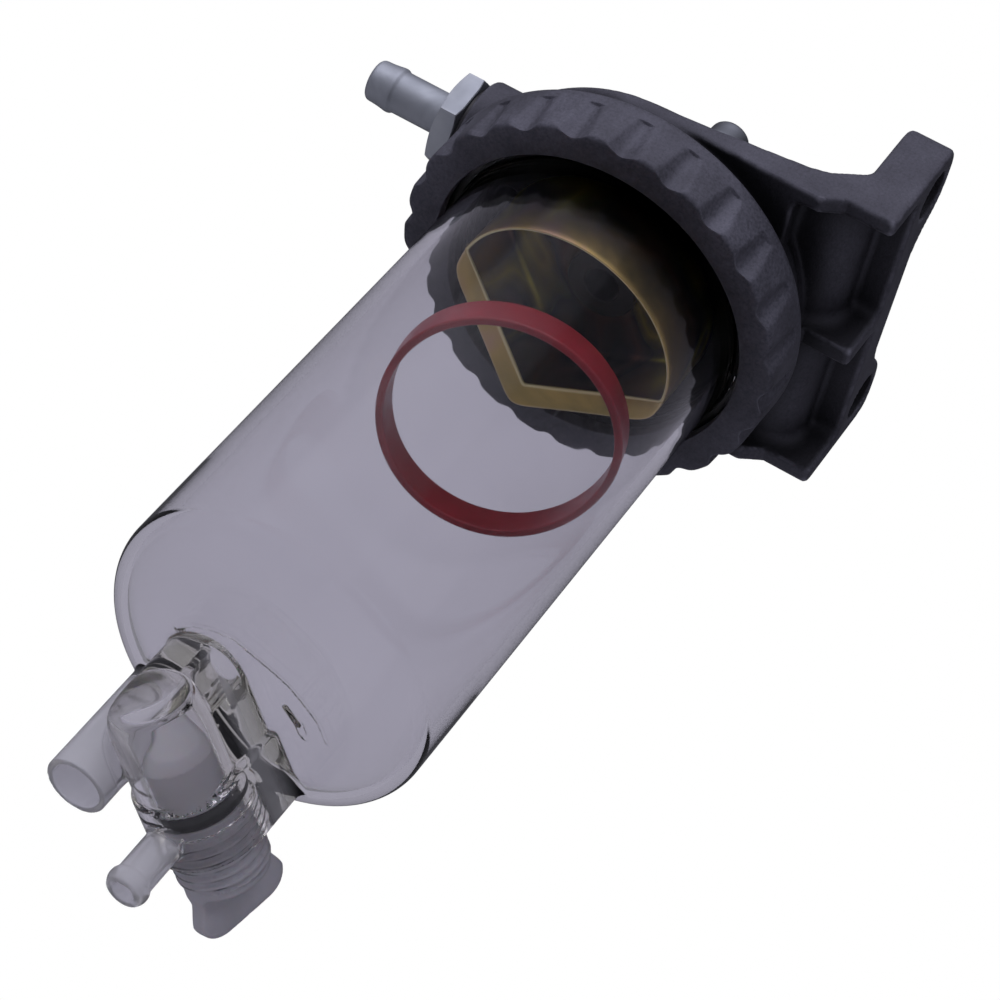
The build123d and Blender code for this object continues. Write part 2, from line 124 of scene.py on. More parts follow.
@dataclass
class DrainFrame:
    """Axes of the drain: u out to the plug, v across, w up."""

    turn: float = 61.0
    offset: float = 8.0
    height: float = -138.1

    def __post_init__(self) -> None:
        """Work out the directions and the centre."""
        a = math.radians(self.turn)
        self.out = np.array([-math.sin(a), math.cos(a), 0.0])
        self.side = np.array([-math.cos(a), -math.sin(a), 0.0])
        self.centre = self.side * self.offset + np.array([0, 0, self.height])

    def split(self, p: Array) -> tuple[Array, Array, Array]:
        """Coordinates of points along the drain's axes."""
        q = p - self.centre
        return q @ self.out, q @ self.side, q[:, 2]

    def turning(self) -> Turning:
        """The drain's axis as a turning, its height along u."""
        return Turning(tuple(self.centre), tuple(self.out), (0.0, 0.0, 1.0))


# Small shape functions, all in millimetres and negative inside the solid


def smooth_min(a: Array, b: Array, k: float | Array) -> Array:
    """Join two solids with a fillet of about size k."""
    k = np.maximum(k, 1e-6)
    h = np.maximum(k - np.abs(a - b), 0.0) / k
    return np.minimum(a, b) - h * h * k * 0.25


def smooth_max(a: Array, b: Array, k: float | Array) -> Array:
    """Cut or intersect two solids with a rounded edge of about size k."""
    return -smooth_min(-a, -b, k)


def slab(value: Array, low: float, high: float) -> Array:
    """Distance to the stretch between low and high."""
    return np.maximum(low - value, value - high)


def rod(
    radius: Array, along: Array, size: float | Array, low: float, high: float, edge: float = 0.0
) -> Array:
    """A cylinder from its radius and height values.

    Args:
        radius: distance of each point from the axis.
        along: height of each point along the axis.
        size: the cylinder's radius.
        low: lower end.
        high: upper end.
        edge: size of the rounding round both ends.

    Returns:
        The distance of each point from the cylinder.
    """
    return smooth_max(radius - size, slab(along, low, high), edge)


def bulge(dx: Array, dz: Array, wide: float, tall: float) -> Array:
    """Distance to an ellipse with the given half sizes."""
    k0 = np.sqrt((dx / wide) ** 2 + (dz / tall) ** 2)
    k1 = np.sqrt((dx / wide**2) ** 2 + (dz / tall**2) ** 2)
    return k0 * (k0 - 1.0) / np.maximum(k1, 1e-6)


def steps(low: float, high: float, size: float) -> Array:
    """Evenly spaced grid positions of about the given size."""
    return np.linspace(low, high, max(2, int(round((high - low) / size)) + 1))


def rounded(points: Sequence[Triple], turns: int = 4) -> list[Pair]:
    """Round the corners of an outline.

    Args:
        points: corners as (radius, height, rounding) triples.
        turns: segments in each rounded corner.

    Returns:
        The outline's points.
    """
    out = []
    size = len(points)
    for n in range(size):
        a, p, b = (np.array(points[(n + m) % size][:2], dtype=float) for m in (-1, 0, 1))
        r = points[n][2]
        if r <= 0:
            out.append(tuple(p))
            continue
        da, db = a - p, b - p
        la, lb = np.linalg.norm(da), np.linalg.norm(db)
        da, db = da / la, db / lb
        cut = min(r, la * 0.49, lb * 0.49)
        for t in np.linspace(0, 1, turns + 1):
            q = (1 - t) ** 2 * (p + da * cut) + 2 * t * (1 - t) * p + t**2 * (p + db * cut)
            out.append(tuple(q))
    return out


# Meshing


def make_object(
    name: str, points: Array, faces: Sequence, normals: Array | None = None
) -> bpy.types.Object:
    """Make a smooth-shaded object from bowl-frame points.

    Args:
        name: the piece's name.
        points: vertex positions in millimetres.
        faces: vertex numbers of each face.
        normals: vertex normals, if they are known better than from the faces.

    Returns:
        The new object, linked to the scene.
    """
    mesh = bpy.data.meshes.new(name)
    mesh.from_pydata(to_row(np.asarray(points, dtype=float)).tolist(), [], [tuple(f) for f in faces])
    mesh.update()
    mesh.polygons.foreach_set("use_smooth", [True] * len(mesh.polygons))
    if normals is not None:
        mesh.normals_split_custom_set_from_vertices(normals.tolist())
    obj = bpy.data.objects.new(name, mesh)
    bpy.context.scene.collection.objects.link(obj)
    return obj


def loop_faces(columns: int, size: int, closed: bool) -> Faces:
    """Faces between neighbouring copies of a closed outline.

    Args:
        columns: how many copies of the outline there are.
        size: points in the outline.
        closed: whether the last copy joins the first.

    Returns:
        Vertex numbers of each face.
    """
    faces = []
    for i in range(columns if closed else columns - 1):
        j = (i + 1) % columns
        for k in range(size):
            m = (k + 1) % size
            faces.append((i * size + k, j * size + k, j * size + m, i * size + m))
    return faces


def face_out(obj: bpy.types.Object) -> None:
    """Merge doubles and turn every face of a closed mesh outwards."""
    work = bmesh.new()
    work.from_mesh(obj.data)
    bmesh.ops.remove_doubles(work, verts=work.verts, dist=1e-6)
    bmesh.ops.recalc_face_normals(work, faces=work.faces)
    work.to_mesh(obj.data)
    work.free()


def sharpen(obj: bpy.types.Object, angle: float = 35.0) -> None:
    """Shade smooth, but keep edges sharper than the angle in degrees."""
    obj.data.polygons.foreach_set("use_smooth", [True] * len(obj.data.polygons))
    obj.data.set_sharp_from_angle(angle=math.radians(angle))


def turned(name: str, profile: Sequence[Pair], axis: Turning, around: int = 96) -> bpy.types.Object:
    """Spin a closed outline of (radius, height) pairs about an axis.

    Args:
        name: the piece's name.
        profile: the outline, its first point not repeated at the end.
        axis: the axis it turns about.
        around: steps round the axis.

    Returns:
        The closed ring as an object.
    """
    ring = np.array(profile, dtype=float)
    angles = np.linspace(0, 2 * math.pi, around, endpoint=False)
    points = np.array([axis.place(r, a, h) for a in angles for r, h in ring])
    obj = make_object(name, points, loop_faces(around, len(ring), closed=True))
    face_out(obj)
    return obj


@dataclass
class ImplicitSolid:
    """A closed surface meshed from a distance field on a grid.

    Attributes:
        shape: the distance field.
        xs: grid positions along X.
        ys: grid positions along Y.
        zs: grid positions along Z.
        stride: how far one pull may move a point.
    """

    shape: Field
    xs: Array
    ys: Array
    zs: Array
    stride: float = 0.35

    def sample(self) -> Array:
        """Evaluate the field on the grid, a layer of heights at a time."""
        gx, gy = np.meshgrid(self.xs, self.ys, indexing="ij")
        out = np.empty((len(self.xs), len(self.ys), len(self.zs)), dtype=np.float32)
        flat = np.empty((gx.size, 3))
        flat[:, 0], flat[:, 1] = gx.ravel(), gy.ravel()
        for k, z in enumerate(self.zs):
            flat[:, 2] = z
            out[:, :, k] = self.shape(flat).reshape(gx.shape)
        return out

    def gradient(self, points: Array, step: float = 0.02) -> Array:
        """Slope of the field at the points."""
        grad = np.empty_like(points)
        for axis in range(3):
            move = np.zeros(3)
            move[axis] = step
            grad[:, axis] = (self.shape(points + move) - self.shape(points - move)) / (2 * step)
        return grad

    def settle(self, points: Array, rounds: int) -> Array:
        """Pull points onto the surface, in as many rounds as given."""
        for _ in range(rounds):
            grad = self.gradient(points)
            size = np.maximum((grad**2).sum(axis=1), 1e-3)
            pull = grad * (self.shape(points) / size)[:, None]
            length = np.linalg.norm(pull, axis=1)
            pull *= np.minimum(1.0, self.stride / np.maximum(length, 1e-9))[:, None]
            points = points - pull
        return points

    def mesh(self, rounds: int = 4) -> tuple[Array, Array, Array]:
        """Find the surface and pull its points onto it.

        Args:
            rounds: how often the points are pulled onto the surface.

        Returns:
            Points, quads and normals.
        """
        values = self.sample()
        inside = values < 0
        shape = tuple(n - 1 for n in values.shape)
        count = np.zeros(shape, dtype=np.int8)
        corners = [(i, j, k) for i in (0, 1) for j in (0, 1) for k in (0, 1)]
        for i, j, k in corners:
            count += inside[i : i + shape[0], j : j + shape[1], k : k + shape[2]]
        active = (count > 0) & (count < 8)
        number = -np.ones(shape, dtype=np.int64)
        number[active] = np.arange(active.sum())
        ci, cj, ck = np.nonzero(active)
        grid = (self.xs, self.ys, self.zs)
        total = np.zeros((len(ci), 3))
        hits = np.zeros(len(ci))
        for a in corners:
            for axis in range(3):
                if a[axis]:
                    continue
                b = tuple(v + (n == axis) for n, v in enumerate(a))
                ia = (ci + a[0], cj + a[1], ck + a[2])
                ib = (ci + b[0], cj + b[1], ck + b[2])
                va, vb = values[ia].astype(float), values[ib].astype(float)
                cross = (va < 0) != (vb < 0)
                t = np.where(cross, va / np.where(cross, va - vb, 1.0), 0.0)
                for n in range(3):
                    pa, pb = grid[n][ia[n]], grid[n][ib[n]]
                    total[:, n] += np.where(cross, pa + (pb - pa) * t, 0.0)
                hits += cross
        points = self.settle(total / hits[:, None], rounds)
        grad = self.gradient(points, 0.05)
        normals = grad / np.maximum(np.linalg.norm(grad, axis=1), 1e-9)[:, None]
        return points, self.quads(inside, number), normals

    @staticmethod
    def quads(inside: Array, number: Array) -> Array:
        """Join the cells round each grid edge that crosses the surface.

        Args:
            inside: whether each grid point lies in the solid.
            number: each cell's vertex number.

        Returns:
            Four vertex numbers for each face, turned outwards.
        """
        found = []
        for axis in range(3):
            first = [slice(None)] * 3
            second = [slice(None)] * 3
            first[axis], second[axis] = slice(None, -1), slice(1, None)
            other = [n for n in range(3) if n != axis]
            for n in other:
                first[n] = second[n] = slice(1, -1)
            a, b = inside[tuple(first)], inside[tuple(second)]
            cross = np.argwhere(a != b)
            if not len(cross):
                continue
            cell = cross.copy()
            cell[:, other[0]] += 1
            cell[:, other[1]] += 1
            ring = []
            for du, dv in ((-1, -1), (0, -1), (0, 0), (-1, 0)):
                place = cell.copy()
                place[:, other[0]] += du
                place[:, other[1]] += dv
                ring.append(number[place[:, 0], place[:, 1], place[:, 2]])
            quad = np.stack(ring, axis=1)
            flip = a[tuple(cross.T)]
            if axis == 1:
                flip = ~flip
            quad[~flip] = quad[~flip][:, ::-1]
            found.append(quad)
        return np.concatenate(found)

    def build(self, name: str) -> bpy.types.Object:
        """Mesh the field and make it an object."""
        points, quads, normals = self.mesh()
        return make_object(name, points, quads.tolist(), normals)


# Node trees


class Tree:
    """A node tree, with short calls to fill it."""

    def __init__(self, tree: bpy.types.NodeTree) -> None:
        """Start from an empty tree."""
        self.tree = tree
        self.tree.nodes.clear()

    def add(self, kind: str, inputs: dict | None = None, **settings) -> bpy.types.Node:
        """Add a node, set its properties and fill or link its inputs.

        Args:
            kind: the node's type.
            inputs: for each input a socket to link or a value to set.
            **settings: the node's own properties.

        Returns:
            The new node.
        """
        node = self.tree.nodes.new(kind)
        for key, value in settings.items():
            setattr(node, key, value)
        for key, value in (inputs or {}).items():
            if isinstance(value, Socket):
                self.tree.links.new(value, node.inputs[key])
            else:
                node.inputs[key].default_value = value
        return node

    def reckon(self, operation: str, a: Socket | float, b: Socket | float | None = None) -> Socket:
        """Reckon with one value or two."""
        values = {0: a} if b is None else {0: a, 1: b}
        return self.add("ShaderNodeMath", values, operation=operation).outputs[0]

    def vector(self, operation: str, a: Socket, b: Socket | Triple, output: str = "Vector") -> Socket:
        """Reckon with two vectors."""
        return self.add("ShaderNodeVectorMath", {0: a, 1: b}, operation=operation).outputs[output]


class Sheet(Tree):
    """A material's node tree, over the object's own coordinates."""

    def __init__(self, name: str) -> None:
        """Start a material with an empty tree."""
        self.material = bpy.data.materials.new(name)
        self.material.use_nodes = True
        super().__init__(self.material.node_tree)
        self.output = self.add("ShaderNodeOutputMaterial")
        self.place = self.add("ShaderNodeTexCoord").outputs["Object"]

    def noise(self, scale: float, detail: float = 3.0, rough: float = 0.5, warp: float = 0.0) -> Socket:
        """Noise value over the object's own coordinates."""
        inputs = {"Vector": self.place, "Scale": scale, "Detail": detail}
        inputs |= {"Roughness": rough, "Distortion": warp}
        return self.add("ShaderNodeTexNoise", inputs).outputs["Fac"]

    def ramp(self, value: Socket, stops: Sequence[tuple[float, Sequence[float]]]) -> Socket:
        """Colours along a value."""
        node = self.add("ShaderNodeValToRGB", {"Fac": value})
        band = node.color_ramp
        while len(band.elements) < len(stops):
            band.elements.new(0.5)
        for element, (position, colour) in zip(band.elements, stops):
            element.position = position
            element.color = (*colour[:3], 1.0)
        return node.outputs["Color"]

    def spread(
        self, value: Socket, low: float, high: float, start: float = 0.3, end: float = 0.7
    ) -> Socket:
        """Stretch the values between start and end over the range from low to high."""
        inputs = {"Value": value, "From Min": start, "From Max": end, "To Min": low, "To Max": high}
        return self.add("ShaderNodeMapRange", inputs).outputs["Result"]

    def mix(
        self, factor: Socket | float, a: Socket | Colour, b: Socket | Colour, mode: str = "MIX"
    ) -> Socket:
        """Mix two colours."""
        colours = {n: v if isinstance(v, Socket) else (*v[:3], 1.0) for n, v in ((6, a), (7, b))}
        node = self.add("ShaderNodeMix", {0: factor} | colours, data_type="RGBA", blend_type=mode)
        return node.outputs[2]

    def bump(
        self, height: Socket, depth: float, strength: float = 1.0, normal: Socket | None = None
    ) -> Socket:
        """Bump from a height value, its depth in metres."""
        inputs = {"Height": height, "Distance": depth, "Strength": strength}
        if normal is not None:
            inputs["Normal"] = normal
        return self.add("ShaderNodeBump", inputs).outputs["Normal"]

    def surface(self, output: str) -> Socket:
        """A value of the surface itself, such as how sharp its edges are."""
        return self.add("ShaderNodeNewGeometry").outputs[output]

    def mark(self, name: str) -> Socket:
        """A value that is stored on the mesh under the name."""
        return self.add("ShaderNodeAttribute", attribute_name=name).outputs["Fac"]

    def close(self, shader: bpy.types.Node, volume: bpy.types.Node | None = None) -> bpy.types.Material:
        """Link the shader to the output and return the material."""
        self.tree.links.new(shader.outputs[0], self.output.inputs["Surface"])
        if volume is not None:
            self.tree.links.new(volume.outputs[0], self.output.inputs["Volume"])
        return self.material


# Finishes


@dataclass(frozen=True)
class CastFinish:
    """Sand-cast aluminium: matte, grainy and darker in patches, with painted shade in its hollows.

    Attributes:
        name: the material's name.
        light: colour of its lighter patches.
        dark: colour of its darker patches.
        hollow_shade: how much painted shade darkens the hollows.
        metallic: how metallic it is.
        patches: scale of the patches.
        grain: scale of the sand's grain.
        lumps: scale of the lumps under the grain.
        speckle: what the grain multiplies the colour by.
        worn: edge sharpness at which wear starts and is full.
        closed: openness at which the painted shade of a hollow is full and ends.
        reach: how far away a surface still adds painted shade to a hollow, in metres.
    """

    name: str
    light: Colour
    dark: Colour
    hollow_shade: float
    metallic: float = 0.55
    patches: float = 55.0
    grain: float = 1500.0
    lumps: float = 420.0
    speckle: tuple[Colour, Colour] = ((0.62, 0.62, 0.64), (1.25, 1.24, 1.27))
    worn: Pair = (0.53, 0.58)
    closed: Pair = (0.5, 0.99)
    reach: float = 0.06

    def build(self) -> bpy.types.Material:
        """Make the material."""
        s = Sheet(self.name)
        speck = s.noise(self.grain, 2.0, 0.7)
        base = s.ramp(s.noise(self.patches, 4.0, 0.6), [(0.3, self.dark), (0.7, self.light)])
        colour = s.mix(1.0, base, s.ramp(speck, list(zip((0.3, 0.72), self.speckle))), "MULTIPLY")
        # Painted shade: hollows found by ambient occlusion darken towards a fifth of the dark colour.
        openness = s.add("ShaderNodeAmbientOcclusion", {"Distance": self.reach}, samples=6).outputs["AO"]
        hollow = s.spread(openness, self.hollow_shade, 0.0, *self.closed)
        colour = s.mix(hollow, colour, tuple(c * 0.2 for c in self.dark))
        pale_edge = s.spread(s.noise(260.0, 2.0, 0.6), 0.1, 1.0, 0.4, 0.6)
        edge = s.reckon("MULTIPLY", s.spread(s.surface("Pointiness"), 0.0, 0.9, *self.worn), pale_edge)
        colour = s.mix(edge, colour, tuple(min(1.0, c * 2.4) for c in self.light))
        fine = s.bump(speck, 0.00006, 0.8)
        shader = s.add(
            "ShaderNodeBsdfPrincipled",
            {
                "Base Color": colour,
                "Metallic": self.metallic,
                "Roughness": s.spread(speck, 0.5, 0.72),
                "Normal": s.bump(s.noise(self.lumps, 3.0, 0.6), 0.00018, 0.45, fine),
            },
        )
        return s.close(shader)


@dataclass(frozen=True)
class PlatedFinish:
    """Plating over turned or pressed steel, with painted shade streaked with painted reflections where the
    mesh is marked as deep.

    Attributes:
        name: the material's name.
        tones: its dark, middle and light tones.
        roughness: its smoothest and roughest parts.
        clouds: scale of the tones.
        edge: colour of its sharp edges, partly wear and partly painted highlight, and of the painted
            highlight on a rim marked on the mesh.
        shade_and_reflections: colours of the painted shade and painted reflections, along a noise value.
    """

    name: str
    tones: tuple[Colour, Colour, Colour]
    roughness: Pair = (0.34, 0.5)
    clouds: float = 60.0
    edge: Colour = (0.75, 0.76, 0.78)
    shade_and_reflections: tuple[tuple[float, Colour], ...] = (
        (0.28, (0.012, 0.010, 0.008)),
        (0.42, (0.20, 0.08, 0.05)),
        (0.50, (0.02, 0.016, 0.012)),
        (0.58, (0.62, 0.56, 0.06)),
        (0.65, (0.03, 0.022, 0.018)),
        (0.76, (0.55, 0.14, 0.30)),
    )

    def build(self) -> bpy.types.Material:
        """Make the material."""
        s = Sheet(self.name)
        cloud = s.noise(self.clouds, 4.0, 0.55, 0.6)
        colour = s.ramp(cloud, list(zip((0.3, 0.5, 0.7), self.tones)))
        # Painted shade streaked with painted reflections where the mesh is marked as deep.
        colour = s.mix(s.mark("deep"), colour, s.ramp(s.noise(34.0, 1.0, 0.4, 0.8), self.shade_and_reflections))
        # Pale sharp edges, partly wear and partly painted highlight.
        colour = s.mix(s.spread(s.surface("Pointiness"), 0.0, 0.8, 0.56, 0.66), colour, self.edge)
        shader = s.add(
            "ShaderNodeBsdfPrincipled",
            {
                # Painted highlight along the rim marked on the mesh.
                "Base Color": s.mix(s.mark("rim"), colour, self.edge),
                "Metallic": 1.0,
                "Roughness": s.spread(s.noise(150.0, 2.0), *self.roughness),
                "Normal": s.bump(s.noise(300.0, 2.0), 0.000006, 0.4),
            },
        )
        return s.close(shader)


@dataclass(frozen=True)
class ClearFinish:
    """Clear moulded plastic with a faint tint, deeper where it is thick and milkier in the drain.

    Attributes:
        name: the material's name.
        tint: its colour.
        depth_tint: the colour that thick parts take on.
        density: how fast they take it on.
        sheen: how strong its reflections are.
        roughness: roughness of its clean parts.
        ripple: strength of its slow ripples.
        frost: roughness that the drain has on top.
        milk: how milky the drain's block and ledge are.
        bend: how much the drain and the bowl bend light.
        calm: share of reflections left out round the baffle cup.
        drain_band: heights between which the drain's look fades, in metres.
        ledge_band: distances from the drain's axis between which the ledge starts.
        bend_band: heights between which the bending changes.
        calm_band: heights between which the calm share grows.
    """

    name: str
    tint: Colour
    depth_tint: Colour
    density: float
    sheen: Colour = (0.14, 0.14, 0.15)
    roughness: float = 0.02
    ripple: float = 0.00002
    frost: float = 0.03
    milk: Pair = (0.03, 0.34)
    bend: Pair = (1.33, 1.49)
    calm: float = 0.62
    drain_band: Pair = (-0.174, -0.169)
    ledge_band: Pair = (0.0106, 0.0125)
    bend_band: Pair = (-0.168, -0.140)
    calm_band: Pair = (-0.105, -0.075)

    def cloudy(self, s: Sheet, height: Socket) -> Socket:
        """How milky the plastic is at each place.

        Args:
            s: the sheet to reckon on.
            height: height of the place.

        Returns:
            The milkiness, 0 in the bowl.
        """
        drain = DrainFrame()
        arm = s.vector("SUBTRACT", s.place, tuple(to_row(drain.centre)))
        along = s.vector("DOT_PRODUCT", arm, tuple(drain.out), "Value")
        whole = s.vector("DOT_PRODUCT", arm, arm, "Value")
        apart = s.reckon("SQRT", s.reckon("SUBTRACT", whole, s.reckon("MULTIPLY", along, along)))
        milk = s.spread(apart, *self.milk, *self.ledge_band)
        return s.reckon("MULTIPLY", milk, s.spread(height, 1.0, 0.0, *self.drain_band))

    def build(self) -> bpy.types.Material:
        """Make the material."""
        s = Sheet(self.name)
        height = s.add("ShaderNodeSeparateXYZ", {"Vector": s.place}).outputs["Z"]
        haze = tuple(c * 0.965 for c in self.tint)
        smear = s.spread(s.noise(160.0, 3.0, 0.6), self.roughness, self.roughness + 0.03, 0.5, 0.75)
        frost = s.spread(height, self.frost, 0.0, *self.drain_band)
        colour = s.ramp(s.noise(24.0, 3.0, 0.5, 0.3), [(0.35, haze), (0.65, self.tint)])
        shared = {
            "Roughness": s.reckon("ADD", smear, frost),
            "IOR": s.spread(height, *self.bend, *self.bend_band),
            "Normal": s.bump(s.noise(38.0, 2.0, 0.4), 0.0006, self.ripple),
        }
        glossy = s.add(
            "ShaderNodeBsdfPrincipled",
            shared
            | {
                "Base Color": colour,
                "Transmission Weight": s.reckon("SUBTRACT", 1.0, self.cloudy(s, height)),
                "Specular Tint": (*self.sheen, 1.0),
            },
        )
        plain = s.add("ShaderNodeBsdfRefraction", shared | {"Color": colour})
        entering = s.reckon("SUBTRACT", 1.0, s.surface("Backfacing"))
        calm = s.reckon("MULTIPLY", s.spread(height, 0.0, self.calm, *self.calm_band), entering)
        shader = s.add("ShaderNodeMixShader", {0: calm, 1: glossy.outputs[0], 2: plain.outputs[0]})
        depth = {"Color": (*self.depth_tint, 1.0), "Density": self.density}
        return s.close(shader, s.add("ShaderNodeVolumeAbsorption", depth))


@dataclass(frozen=True)
class SolidFinish:
    """Moulded plastic or rubber with slight colour and gloss variation.

    Attributes:
        name: the material's name.
        light: colour of its lighter parts.
        dark: colour of its darker parts.
        roughness: its smoothest and roughest parts.
        grain: scale of its fine bumps.
        depth: their depth in metres.
    """

    name: str
    light: Colour
    dark: Colour
    roughness: Pair
    grain: float = 500.0
    depth: float = 0.00003

    def build(self) -> bpy.types.Material:
        """Make the material."""
        s = Sheet(self.name)
        shader = s.add(
            "ShaderNodeBsdfPrincipled",
            {
                "Base Color": s.ramp(s.noise(90.0, 4.0, 0.6), [(0.3, self.dark), (0.7, self.light)]),
                "Roughness": s.spread(s.noise(260.0, 3.0), *self.roughness),
                "IOR": 1.47,
                "Normal": s.bump(s.noise(self.grain, 2.0), self.depth, 0.6),
            },
        )
        return s.close(shader)


@dataclass(frozen=True)
class ThreadedFinish:
    """Cloudy plastic with painted shade as fine dark lines at the thread's roots, and painted light on its
    nose.

    Attributes:
        name: the material's name.
        light: colour of its lighter parts.
        dark: colour of its darker parts.
        nose: pale colour painted on the plug's nose inside the drain as painted light.
        pitch: the thread's pitch.
        thread: where the thread starts and ends along the drain's axis.
        nose_band: how far before the thread the painted light on the nose fades.
    """

    name: str
    light: Colour
    dark: Colour
    nose: Colour = (0.93, 0.91, 0.95)
    pitch: float = 2.0
    thread: Pair = (19.6, 32.2)
    nose_band: Pair = (4.6, 3.6)

    def build(self) -> bpy.types.Material:
        """Make the material."""
        s = Sheet(self.name)
        drain = DrainFrame()
        first, last = self.thread
        along = s.vector("DOT_PRODUCT", s.place, tuple(drain.out), "Value")
        start = float(np.dot(to_row(drain.centre), drain.out)) + first * MM
        end = start + (last - first) * MM
        share = s.reckon("FRACT", s.spread(along, 0.0, (last - first) / self.pitch, start, end))
        # Painted shade: thin dark lines along the thread's roots, broken by noise.
        line = s.ramp(share, [(0.36, (0, 0, 0)), (0.44, (1, 1, 1)), (0.56, (1, 1, 1)), (0.64, (0, 0, 0))])
        broken = s.spread(s.noise(110.0, 2.0, 0.5), 0.15, 0.9, 0.40, 0.52)
        root = s.mix(broken, (0, 0, 0), line)
        cloud = s.ramp(s.noise(90.0, 4.0, 0.6), [(0.3, self.dark), (0.7, self.light)])
        # Painted light: a pale nose inside the drain, fading out before the thread.
        far, near = (start - gap * MM for gap in self.nose_band)
        cloud = s.mix(s.spread(along, 1.0, 0.0, far, near), cloud, self.nose)
        shader = s.add(
            "ShaderNodeBsdfPrincipled",
            {
                "Base Color": s.mix(root, cloud, tuple(c * 0.12 for c in self.dark)),
                "Roughness": s.spread(s.noise(260.0, 3.0), 0.38, 0.52),
                "Transmission Weight": 0.25,
                "Subsurface Weight": 0.2,
                "Subsurface Scale": 0.002,
                "IOR": 1.47,
                "Normal": s.bump(s.noise(420.0, 2.0), 0.00003, 0.5),
            },
        )
        return s.close(shader)


@dataclass
class Finishes:
    """All materials of the separator, built once."""

    cast: bpy.types.Material = field(init=False)
    nut: bpy.types.Material = field(init=False)
    zinc: bpy.types.Material = field(init=False)
    shaded: bpy.types.Material = field(init=False)
    shadowed: bpy.types.Material = field(init=False)
    yellow: bpy.types.Material = field(init=False)
    clear: bpy.types.Material = field(init=False)
    frosted: bpy.types.Material = field(init=False)
    red: bpy.types.Material = field(init=False)
    rubber: bpy.types.Material = field(init=False)
    washer: bpy.types.Material = field(init=False)

    def __post_init__(self) -> None:
        """Build every material."""
        # The last number of each cast finish is how strongly painted shade darkens its hollows.
        self.cast = CastFinish("cast_aluminium", (0.128, 0.127, 0.150), (0.074, 0.073, 0.088), 1.0).build()
        self.nut = CastFinish("cast_ring", (0.150, 0.149, 0.178), (0.086, 0.085, 0.101), 0.2).build()
        bright = ((0.32, 0.34, 0.37), (0.42, 0.44, 0.47), (0.52, 0.54, 0.56))
        self.zinc = PlatedFinish("zinc_plate", bright, (0.5, 0.64)).build()
        # A darker copy of the zinc: painted shade for the outlet fitting under the head's dome.
        shadowed = ((0.14, 0.15, 0.17), (0.19, 0.20, 0.22), (0.24, 0.25, 0.27))
        self.shadowed = PlatedFinish("dull_zinc", shadowed).build()
        shaded = ((0.05, 0.05, 0.05), (0.07, 0.07, 0.07), (0.1, 0.1, 0.1))
        self.shaded = PlatedFinish("shaded_zinc", shaded).build()
        # The last colour is for the pale edges and the painted highlight on the cup's rim.
        yellow = ((0.34, 0.27, 0.10), (0.58, 0.41, 0.14), (0.60, 0.36, 0.30))
        self.yellow = PlatedFinish("yellow_zinc", yellow, (0.31, 0.38), 45.0, (0.95, 0.88, 0.50)).build()
        self.clear = ClearFinish("clear_bowl", (0.95, 0.945, 0.955), (0.80, 0.78, 0.62), 30.0).build()
        self.frosted = ThreadedFinish("frosted_plastic", (0.72, 0.70, 0.74), (0.58, 0.57, 0.60)).build()
        red = ((0.44, 0.026, 0.040), (0.31, 0.014, 0.026))
        self.red = SolidFinish("red_plastic", *red, (0.3, 0.45)).build()
        black = ((0.006, 0.006, 0.007), (0.003, 0.003, 0.003))
        self.rubber = SolidFinish("black_rubber", *black, (0.4, 0.55)).build()
        # Near-black washers: painted shade for the gap between each hexagon and the casting.
        grey = ((0.03, 0.028, 0.03), (0.015, 0.014, 0.016))
        self.washer = SolidFinish("shaded_washer", *grey, (0.4, 0.6)).build()


class Piece(Protocol):
    """Anything that builds itself in the given finishes."""

    def build(self, looks: Finishes) -> None:
        """Make the piece and dress it."""


def dress(
    obj: bpy.types.Object, material: bpy.types.Material, part: Body, kind: Slot, *nodes: str
) -> None:
    """Give a finished piece its material and body, and hide the CAD nodes it stands for.

    Args:
        obj: the piece.
        material: its finish.
        part: the CAD body it moves with.
        kind: its material slot, which is not used.
        *nodes: CAD nodes that it replaces.
    """
    body, slot = part.value, kind.value
    if not obj.data.materials:
        obj.data.materials.append(material)
    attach(obj, body)
    if nodes:
        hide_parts(*nodes)
    log.info("%s: %d faces on %s", obj.name, len(obj.data.polygons), body)


# Rings of equal sectors, made with Geometry Nodes


